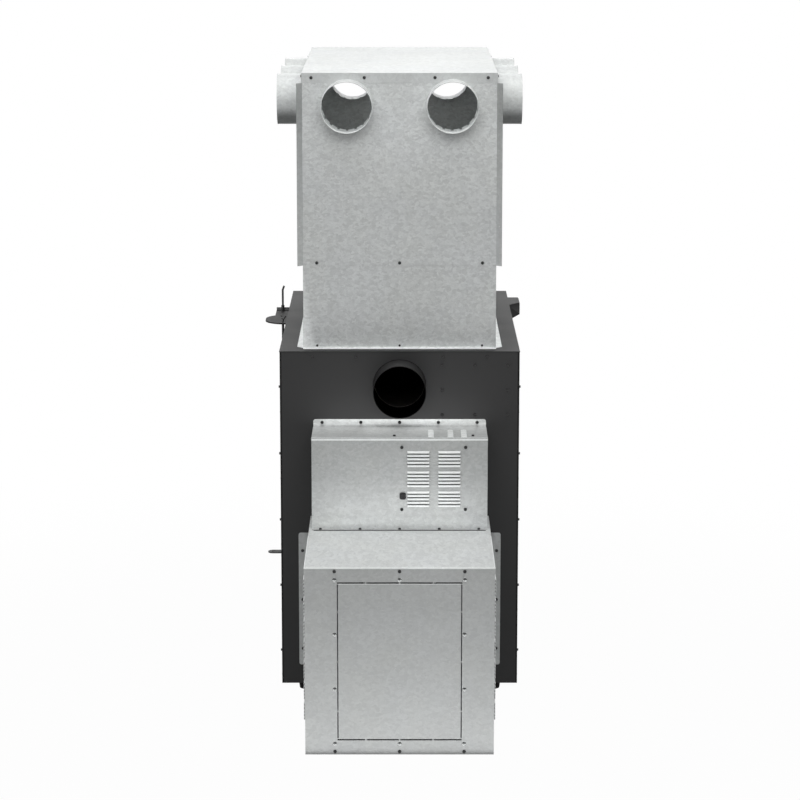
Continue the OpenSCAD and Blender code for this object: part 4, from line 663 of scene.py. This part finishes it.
def isFold(edge, v):
    # a long enough outer edge between two faces that are both wide and stand at an angle
    if len(edge.link_faces) != 2 or not edge.is_convex or edge.calc_length() <= v["wide"]:
        return False
    a, b = edge.link_faces
    steep = a.normal.angle(b.normal, 0.0) > math.radians(v["foldDeg"])
    return steep and min(faceWidth(a), faceWidth(b)) > v["wide"]


def foldedCopy(name, radius, body="furnace"):
    v = foldRules
    bm = bmesh.new()
    bm.from_mesh(cadNodes[name].data)
    bmesh.ops.remove_doubles(bm, verts=bm.verts, dist=v["merge"])
    bmesh.ops.dissolve_limit(bm, angle_limit=math.radians(v["flatDeg"]), verts=bm.verts, edges=bm.edges)
    bm.normal_update()
    picked = [edge for edge in bm.edges if isFold(edge, v)]
    if picked:
        bmesh.ops.bevel(bm, geom=picked, offset=radius, segments=v["steps"], profile=0.5, affect="EDGES",
                        clamp_overlap=True)
    bmesh.ops.triangulate(bm, faces=[face for face in bm.faces if len(face.verts) > 4])
    mesh = bpy.data.meshes.new(name + "Folded")
    bm.to_mesh(mesh)
    bm.free()
    piece = bpy.data.objects.new(name + "Folded", mesh)
    bpy.context.scene.collection.objects.link(piece)
    mesh.materials.append(finishes[finishOf[name]])
    smoothBy(mesh, smoothDeg["folded"])
    even = piece.modifiers.new("flatSheets", "WEIGHTED_NORMAL")
    even.keep_sharp, even.weight = True, v["weight"]
    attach(piece, body)
    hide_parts(name)
    print("folded", name, len(picked), "edges")
    return piece


folded = {name: foldedCopy(name, radius) for name, (radius, slot) in foldedSheets.items()}

# planes that several pieces share
rearSheetLow, rearSheetHigh = nodeBox("blower_rear_panel")
blowerLidLow, blowerLidHigh = nodeBox("blower_box_lid")
controlFaces = {"front": -0.163, "top": 0.827}

# the blower's rear sheet is pressed in round its small holes: the outer ring is wider, the inner ring deeper
dimpleShape = {"x": 0.1845, "endZ": (0.032, 0.516), "betweenZ": (0.194, 0.356), "front": rearSheetLow[1],
               "reach": 0.0042, "split": 0.0024, "wide": 0.0066, "narrow": 0.0019, "deep": 0.0032,
               "frontSkin": 0.0006}
# the slots beside the knock-out are a little narrower than the cut
knockoutSlot = {"x": 0.1735, "z": (0.048, 0.503), "near": 1e-4, "move": 0.0008}


def dimpleSpots(v):
    # three along the top and three along the bottom, then two between them at each side
    ends = [(x, z) for x in (-v["x"], 0.0, v["x"]) for z in v["endZ"]]
    return ends + [(x, z) for x in (-v["x"], v["x"]) for z in v["betweenZ"]]


def pressDimples(at, v):
    # vertices round each hole are moved out or in to a new radius, and the inner ones back from the front
    for x, z in dimpleSpots(v):
        away = at[:, [0, 2]] - (x, z)
        r = np.hypot(away[:, 0], away[:, 1])
        outer, inner = (r < v["reach"]) & (r > v["split"]), r <= v["split"]
        for picked, radius in ((outer, v["wide"]), (inner, v["narrow"])):
            at[np.ix_(picked, [0, 2])] = np.array((x, z)) + away[picked] / r[picked, None] * radius
        at[inner & (at[:, 1] > v["front"] + v["frontSkin"]), 1] += v["deep"]


def narrowSlots(at, v):
    x, z = at[:, 0], at[:, 2]
    beside = (np.abs(np.abs(x) - v["x"]) < v["near"]) & (z > v["z"][0]) & (z < v["z"][1])
    at[beside, 0] += np.sign(at[beside, 0]) * v["move"]


def pressRearSheet(mesh):
    at = np.empty(len(mesh.vertices) * 3)
    mesh.vertices.foreach_get("co", at)
    at = at.reshape(-1, 3)
    pressDimples(at, dimpleShape)
    narrowSlots(at, knockoutSlot)
    mesh.vertices.foreach_set("co", at.ravel())
    mesh.update()


pressRearSheet(folded["blower_rear_panel"].data)

# duct collars: a turned ring with a stop bead and a rolled rim, and bent tabs behind the panel
# rimSunk, rimFrom and rimBack are multiples of the rim's radius
collarShape = {
    "outer": mounts["rear_collar_1"]["dims"]["r_mm"] / 1000, "sheet": 0.0009, "length": 0.080, "around": 120,
    "bead": 0.0025, "beadPoints": 7, "waist": 0.02, "boreRings": 4,
    "rim": 0.0011, "rimPoints": 12, "rimSunk": 0.15, "rimFrom": 2.6, "rimBack": 2,
    "tabs": 18, "tabLength": 0.03, "tabGap": 0.008, "tabAcross": 5, "tabOverlap": 0.0004,
}


def collarProfile(v):
    # from the panel along the outside, over the stop bead and the rolled rim, and back along the bore
    # bead: r = outer + bead sin t, h = bead (1 - cos t) / 2; the rim is most of a circle
    ro, ri, length, bead, rim = v["outer"], v["outer"] - v["sheet"], v["length"], v["bead"], v["rim"]
    t = np.linspace(0, np.pi, v["beadPoints"])
    stop = np.stack([ro + bead * np.sin(t), bead * 0.5 - bead * 0.5 * np.cos(t)], axis=1)
    s = np.linspace(-0.5 * np.pi, 1.5 * np.pi, v["rimPoints"])[1:-1]
    roll = np.stack([ro - rim * v["rimSunk"] + rim * np.cos(s), length - rim + rim * np.sin(s)], axis=1)
    outer = [[ro, v["waist"]], [ro, length - v["rimFrom"] * rim]]
    inner = [[ri, length - v["rimBack"] * rim], [ri, v["waist"]], [ri, -v["sheet"]]]
    return np.vstack([[[ro, -v["sheet"]]], stop, outer, roll, inner])


def collarTabs(v):
    # each tab is a curved plate: angle across it, height along it, and a loop round its thickness
    ri = v["outer"] - v["sheet"]
    step = 2 * np.pi / v["tabs"]
    half = step / 2 - v["tabGap"] / 2 / ri
    low, high = -v["sheet"] - v["tabLength"], -v["sheet"] + v["tabOverlap"]
    loop = np.array([[ri, high], [ri, low], [ri - v["sheet"], low], [ri - v["sheet"], high]])
    across, m = v["tabAcross"], len(loop)
    angle = (np.arange(v["tabs"]) * step)[:, None, None] + np.linspace(-half, half, across)[None, :, None]
    r, z = loop[None, None, :, 0], np.broadcast_to(loop[None, None, :, 1], (v["tabs"], across, m))
    pts = np.stack([r * np.cos(angle), r * np.sin(angle), z], axis=-1)
    ends = [[0, 3, 2, 1], list(range((across - 1) * m, across * m))]
    one = np.vstack([quadsBetween(across, m), ends])
    quads = (one[None] + (np.arange(v["tabs"]) * across * m)[:, None, None]).reshape(-1, 4)
    return pts.reshape(-1, 3), quads


def collarAt(place, outward, v):
    # local height runs outward; the other two axes complete a right-handed frame
    out = np.asarray(outward, float)
    side = np.cross((0.0, 0.0, 1.0), out)
    basis = np.stack([side, np.cross(out, side), out])
    ring, ringQuads = turnedSurface(collarProfile(v), v["around"])
    tabs, tabQuads = collarTabs(v)
    points = np.vstack([ring, tabs]) @ basis + np.asarray(place)
    return points, np.vstack([ringQuads, tabQuads + len(ring)])


def collarSpots(sides, v):
    # a collar's mount is at the middle of its length, so its panel is half a length behind that
    found = [mounts[name] for side in sides for name in sorted(mounts) if name.startswith(side)]
    return [(np.array(m["pos_m"]) - np.array(m["axis"]) * v["length"] / 2, m["axis"]) for m in found]


def makeCollars(name, nodeName, sides, v):
    parts = [collarAt(place, out, v) for place, out in collarSpots(sides, v)]
    points, quads = joinParts(parts)
    piece = newPiece(name, points, quads, "zincCollar", "galvanised")
    # painted light: the bore and the bent tabs take a much lighter zinc, for the light that falls into the
    # collar
    rings = len(collarProfile(v))
    ringFaces = rings * v["around"]
    index = np.arange(len(quads)) % len(parts[0][1])
    paintedLitFaces = (index >= ringFaces) | (index % rings >= rings - v["boreRings"])
    piece.data.materials.append(finishes["zincTab"])
    piece.data.polygons.foreach_set("material_index", paintedLitFaces.astype(np.int32))
    faceOutwards(piece.data)
    smoothBy(piece.data, smoothDeg["collar"])
    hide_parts(nodeName)


makeCollars("endCollars", "end_collars", ("rear", "front"), collarShape)
makeCollars("sideCollars", "side_collars", ("left", "right"), collarShape)
print("collars made")

# louvres: pressed hoods in groups, on the control box's front and the blower box's sides
louvreShape = {"length": 0.0672, "out": 0.0046, "drop": 0.0066, "sideDrop": 0.0052, "rise": 0.0072,
               "sheet": 0.0009, "endRun": 0.0022, "endLeast": 0.02, "curvePoints": 7, "endPoints": 5,
               "pitch": 0.0104, "group": 0.061, "inGroup": 5}
# the strip in each mouth is near-black, painted as the shade under the hood above
louvreMouthShadow = {"end": 0.001, "y": (0.0002, 0.0004), "top": 0.0004}
frontLouvres = {"x": (0.0557, 0.1478), "y": controlFaces["front"], "top": 0.781, "groups": 3}
sideLouvres = {"x": rearSheetHigh[0], "y": -0.569, "top": 0.506, "groups": 7}


def louvreHood(v):
    # outwards and down along a quarter ellipse and back inside it; the reach falls to nothing at both ends
    t = np.linspace(0, 0.5 * np.pi, v["curvePoints"])
    thin = v["sheet"]
    outer = np.stack([v["out"] * np.sin(t), v["rise"] - v["drop"] * (1 - np.cos(t))], axis=1)
    under = v["rise"] - thin - (v["drop"] - thin) * (1 - np.cos(t))
    inner = np.stack([(v["out"] - thin) * np.sin(t), under], axis=1)[::-1]
    loop = np.vstack([outer, inner])
    half, run, count = v["length"] / 2, v["endRun"], v["endPoints"]
    along = np.concatenate([np.linspace(-half, -half + run, count), np.linspace(half - run, half, count)])
    nearEnd = np.clip((half - np.abs(along)) / run, 0.0, 1.0)
    size = np.sqrt(np.clip(1 - (1 - nearEnd) ** 2, v["endLeast"], 1.0))
    y, z = size[:, None] * loop[None, :, 0], loop[None, :, 1]
    return stackedLoops(np.stack(np.broadcast_arrays(along[:, None], y, z), axis=-1))


def louvrePaintedShadow(v, shadowAtMouth):
    # a near-black strip painted as the shade in the mouth between two hoods of a group
    half, (back, front) = v["length"] / 2 - shadowAtMouth["end"], shadowAtMouth["y"]
    ring = [(-half, back), (half, back), (half, front), (-half, front)]
    return carried(ring, (v["rise"] - v["pitch"], shadowAtMouth["top"]), 2)


def louvreRows(v, top, groups):
    # height of each louvre from the top down, with its number in its group
    return [(top - g * v["group"] - i * v["pitch"], i) for g in range(groups) for i in range(v["inGroup"])]


def makeLouvres(v, front, side):
    hood, sideHood = louvreHood(v), louvreHood({**v, "drop": v["sideDrop"]})
    paintedShading = louvrePaintedShadow(v, louvreMouthShadow)
    hoods, mouthShadows, sideHoods = [], [], []
    for z, i in louvreRows(v, front["top"], front["groups"]):
        for x in front["x"]:
            here = ((x, front["y"], z), (1, 0, 0), (0, -1, 0))
            hoods.append((placed(hood[0], *here), hood[1]))
            if i < v["inGroup"] - 1:
                mouthShadows.append((placed(paintedShading[0], *here), paintedShading[1]))
    for z, i in louvreRows(v, side["top"], side["groups"]):
        for s in (-1, 1):
            here = ((s * side["x"], side["y"], z), (0, 1, 0), (s, 0, 0))
            sideHoods.append((placed(sideHood[0], *here), sideHood[1]))
    # painted light: the hoods take a much lighter zinc than the sheet
    makeStatic("controlLouvres", hoods, "zincLouvre", "galvanised")
    makeStatic("louvreMouthShadows", mouthShadows, "foamStrip", "black_plastic")
    makeStatic("blowerLouvres", sideHoods, "zincLouvre", "galvanised")
    print("louvres made:", len(hoods), len(sideHoods))


makeLouvres(louvreShape, frontLouvres, sideLouvres)

# bends with a painted highlight in a much lighter zinc, as (y, z) loops carried along X
bendShape = {
    "controlBend": {"x": 0.2617, "corner": (controlFaces["front"], controlFaces["top"]), "radius": 0.0032,
                    "top": 0.003, "down": 0.0042, "skin": 0.0002},
    "knockoutLip": {"x": 0.1725, "corner": (rearSheetLow[1], 0.5047), "radius": 0.0008,
                    "top": 0.0001, "down": 0.0009, "skin": 0.0003},
    "lidHem": {"x": 0.2712, "corner": (blowerLidLow[1], blowerLidHigh[2]), "radius": 0.0014,
               "top": 0.003, "down": 0.0016, "skin": 0.0009},
}
bendInside = {"topSkin": 0.0002, "back": 0.0003, "under": 0.0004, "points": 7}


def bendLoop(v, inside):
    # flat on top, a quarter round, then down the front; the inside runs back a little under the sheet's face
    (y, z), r, skin = v["corner"], v["radius"], v["skin"]
    topSkin, back = min(skin, inside["topSkin"]), inside["back"]
    far, low = y + r + v["top"], z - r - v["down"]
    t = np.linspace(0, 0.5 * np.pi, inside["points"])
    turn = np.stack([y + r - (r + skin) * np.sin(t), z - r + (r + topSkin) * np.cos(t)], axis=1)
    inner = [(y + back, low), (y + r + back, z - r - back), (far, z - inside["under"])]
    return np.vstack([[(far, z + topSkin)], turn, [(y - skin, low)], inner])


for bendName, bend in bendShape.items():
    bar = carried(bendLoop(bend, bendInside), (-bend["x"], bend["x"]), 0)
    makeStatic(bendName, [bar], "zincBend", "galvanised")

# the side hems of the blower's lid run along Y, with the same painted highlight
sideHem = {"x": blowerLidHigh[0], "top": blowerLidHigh[2], "front": blowerLidLow[1], "backY": -0.25,
           "wide": 0.0022, "proud": 0.0003, "deep": 0.0014, "skin": 0.0005, "thick": 0.0005,
           "topEdge": 0.0002, "lowEdge": 0.0003, "roundOff": 0.0006}


def makeSideHems(v):
    low, high = v["top"] - v["deep"], v["top"] + v["proud"]
    ends = (v["front"] - v["skin"], v["backY"])
    hems = []
    for s in (-1, 1):
        inner, outer = s * (v["x"] - v["wide"]), s * (v["x"] + v["skin"])
        ring = [(inner, high), (s * (v["x"] - v["topEdge"]), high), (outer, high - v["roundOff"]),
                (outer, low), (s * (v["x"] - v["lowEdge"]), low), (inner, high - v["thick"])]
        hems.append(carried(ring, ends, 1))
    makeStatic("lidSideHems", hems, "zincBend", "galvanised")


makeSideHems(sideHem)

# a near-black strip painted as the shadow under the control box's foot on the blower's lid, round in front
footShadow = {"x": 0.256, "foot": nodeBox("control_box")[0][1], "front": 0.0028, "back": 0.0003,
            "lid": blowerLidHigh[2], "above": (0.0001, 0.0017), "points": 7}


def makeFootShadow(v):
    front, back = v["foot"] - v["front"], v["foot"] + v["back"]
    low, high = (v["lid"] + above for above in v["above"])
    middle, r = (low + high) / 2, (high - low) / 2
    a = np.linspace(0, np.pi, v["points"])
    nose = np.stack([front + r - r * np.sin(a), middle + r * np.cos(a)], axis=1)
    loop = np.vstack([[(back, high)], nose, [(back, low)]])
    makeStatic("footShadow", [carried(loop, (-v["x"], v["x"]), 0)], "foamStrip", "black_plastic")


makeFootShadow(footShadow)

# a small cup sits in each dimple, painted much lighter and nearly black where it faces down, as painted light
# and shade: its closed profile of (radius, height out of the sheet) is turned
dimpleCup = {"around": 28, "profile": [
    (0.0066, 0.0004), (0.0062, 0.0006), (0.0041, -0.0016), (0.002, -0.0031),
    (0.002, -0.0038), (0.0046, -0.0024), (0.0066, -0.0006)]}


def makeCups(v, dimples):
    ring, faces = turnedSurface(v["profile"], v["around"])
    axes = ((1, 0, 0), (0, 0, 1), (0, -1, 0))
    cups = [(placed(ring, (x, dimples["front"], z), *axes), faces) for x, z in dimpleSpots(dimples)]
    makeStatic("dimpleCups", cups, "zincCup", "galvanised")


makeCups(dimpleCup, dimpleShape)

# a near-black strip painted as the shadow in the gap between the casing's top and the plenum's foot
footGapShadow = {"x": 0.2835, "foot": nodeBox("plenum_lower_box")[0][1], "behind": (0.0011, 0.003),
           "casingTop": nodeBox("front_panel")[1][2], "above": (0.00005, 0.0014)}


def makeGapShadow(v):
    front, back = (v["foot"] + behind for behind in v["behind"])
    low, high = (v["casingTop"] + above for above in v["above"])
    loop = [(front, low), (front, high), (back, high), (back, low)]
    makeStatic("footGapShadow", [carried(loop, (-v["x"], v["x"]), 0)], "foamStrip", "black_plastic")


makeGapShadow(footGapShadow)

# narrow dark slots in the tool rest's plate: the (x, y) of both ends and half the width
restSlots = {"z": (1.0261, 1.0268), "slots": [
    ((-0.3917, 0.829), (-0.3876, 0.811), 0.002), ((-0.3745, 0.818), (-0.3795, 0.757), 0.0019),
    ((-0.3866, 0.774), (-0.3795, 0.753), 0.002), ((-0.3795, 0.757), (-0.3795, 0.692), 0.0018)]}


def makeRestSlots(v):
    slots = []
    for (x0, y0), (x1, y1), w in v["slots"]:
        plan = [(x0 - w, y0), (x0 + w, y0), (x1 + w, y1), (x1 - w, y1)]
        slots.append(carried(plan, v["z"], 2))
    makeStatic("restSlots", slots, "foamStrip", "black_plastic")


makeRestSlots(restSlots)

# three pressed ribs on the control box: a plan with a round far end, stacked in steps of (inset, height)
ribShape = {"x": (0.0935, 0.1515, 0.1915), "half": 0.0087, "nearY": -0.1624, "farY": -0.0488, "round": 0.006,
            "points": 13, "nearShare": 0.3,
            "steps": ((0.0, -0.0002), (0.0, 0.0014), (0.0007, 0.0021), (0.0022, 0.0024))}


def ribAt(middle, v, boxTop):
    # the half width w shrinks with the inset; the far end is x = w cos a, y = far - round + round sin a
    inset, height = np.array(v["steps"]).T[:, :, None]
    a = np.linspace(0, np.pi, v["points"])[None]
    w, near, far = v["half"] - inset, v["nearY"] + v["nearShare"] * inset, v["farY"] - inset
    x = middle + np.hstack([w, w * np.cos(a), -w])
    y = np.hstack([near, far - v["round"] + v["round"] * np.sin(a), near])
    return stackedLoops(np.stack(np.broadcast_arrays(x, y, boxTop + height), axis=-1))


ribs = [ribAt(x, ribShape, controlFaces["top"]) for x in ribShape["x"]]
# the ribs take a much lighter zinc, as painted light
makeStatic("controlRibs", ribs, "zincRib", "galvanised")
print("bends, shadowStrips and ribs made")

# background: soft light on the object, plain white where it is seen
backdrop = {"colour": (0.97, 0.985, 1.0, 1.0), "ambient": 0.07, "white": (1.0, 1.0, 1.0, 1.0)}
# floor: a wide pale disc that fades into the white background between two distances
paleFloor = {"radius": 60, "corners": 96, "z": -0.0002, "tone": (0.2, 0.2, 0.202, 1.0),
             "near": 1.0, "far": 3.2, "nearWhite": 0.98, "white": (1.0, 1.0, 1.0, 1.0)}


def makeWorld(v):
    world = bpy.data.worlds.new("studioWorld")
    bpy.context.scene.world = world
    world.use_nodes = True
    g = Graph(world.node_tree)
    soft = g.add("ShaderNodeBackground", i0=v["colour"], i1=v["ambient"])
    white = g.add("ShaderNodeBackground", i0=v["white"])
    mix = g.add("ShaderNodeMixShader", i0=g.seen(), i1=(soft, 0), i2=(white, 0))
    g.add("ShaderNodeOutputWorld", i0=(mix, 0))


def floorFinish(v):
    material = bpy.data.materials.new("paleFloor")
    material.use_nodes = True
    g = Graph(material.node_tree)
    distance = g.vectorMath("LENGTH", (g.add("ShaderNodeTexCoord"), "Object"))
    fade = g.add("ShaderNodeMapRange", {"interpolation_type": "SMOOTHSTEP"}, i0=(distance, "Value"),
                 i1=v["near"], i2=v["far"], i3=v["nearWhite"], i4=1.0)
    matt = g.add("ShaderNodeBsdfDiffuse", i0=v["tone"])
    white = g.add("ShaderNodeEmission", i0=v["white"])
    mix = g.add("ShaderNodeMixShader", i0=g.times((fade, 0), g.seen()), i1=(matt, 0), i2=(white, 0))
    g.add("ShaderNodeOutputMaterial", i0=(mix, 0))
    return material


def makeFloor(v):
    count = v["corners"]
    a = np.linspace(0, 2 * np.pi, count, endpoint=False)
    rim = np.stack([np.cos(a) * v["radius"], np.sin(a) * v["radius"], np.full(count, v["z"])], axis=1)
    mesh = bpy.data.meshes.new("paleFloor")
    mesh.from_pydata(rim.tolist(), [], [list(range(count))])
    floor = bpy.data.objects.new("paleFloor", mesh)
    bpy.context.scene.collection.objects.link(floor)
    mesh.materials.append(floorFinish(v))


# soft boxes round the object, and small ones for light that comes back from the floor and bright sheets
# a target is a hair off straight up or down, so that the way the box is turned is fixed
lights = {
    "topBox": {"place": (0, -0.1, 4.6), "target": (0, -0.0999, 0), "size": (5.2, 3.4), "power": 140.0},
    "keyBox": {"place": (0, -4.2, 3.4), "target": (0, 0, 1.2), "size": (3.6, 2.0), "power": 69.0},
    "leftBox": {"place": (-3.6, -1.6, 3.4), "target": (0, 0, 1.2), "size": (1.4, 2.4), "power": 12.0},
    "rightBox": {"place": (3.6, -1.6, 3.4), "target": (0, 0, 1.2), "size": (1.4, 2.4), "power": 12.0},
    "floorBounce": {"place": (0, -1.03, 0.004), "target": (0, -1.0299, 1.0), "size": (1.6, 0.8), "power": 4.0,
                    "mirrored": False},
    "controlBounce": {"place": (0, -0.085, 0.832), "target": (0, -0.0849, 1.5), "size": (0.48, 0.12),
                      "power": 0.5, "mirrored": False},
    "plenumInside": {"place": (0, 0.57, 1.88), "target": (0, 0.5701, 1.0), "size": (0.45, 0.9), "power": 0.42,
                     "mirrored": False},
    "underFlue": {"place": (0, -0.06, 0.872), "target": (0, -0.0601, 0.0), "size": (0.2, 0.08),
                  "power": 0.045, "mirrored": False},
    "lidBounce": {"place": (0, -0.4, 0.556), "target": (0, -0.3999, 1.5), "size": (0.5, 0.38), "power": 0.95,
                  "mirrored": False},
    "frontBox": {"place": (0, 4.5, 3.2), "target": (0, 0.6, 0.9), "size": (2.6, 1.8), "power": 34.0},
}


def softBox(name, place, target, size, power, mirrored=True):
    data = bpy.data.lights.new(name, "AREA")
    data.shape = "RECTANGLE"
    data.size, data.size_y = size
    data.energy = power
    light = bpy.data.objects.new(name, data)
    light.location = place
    light.visible_camera = False
    light.visible_glossy = light.visible_transmission = mirrored
    light.rotation_euler = (Vector(target) - Vector(place)).to_track_quat("-Z", "Y").to_euler()
    bpy.context.scene.collection.objects.link(light)


makeWorld(backdrop)
makeFloor(paleFloor)
for lightName, light in lights.items():
    softBox(lightName, **light)
bpy.context.scene.view_settings.view_transform = "Standard"
print("stage and light set")
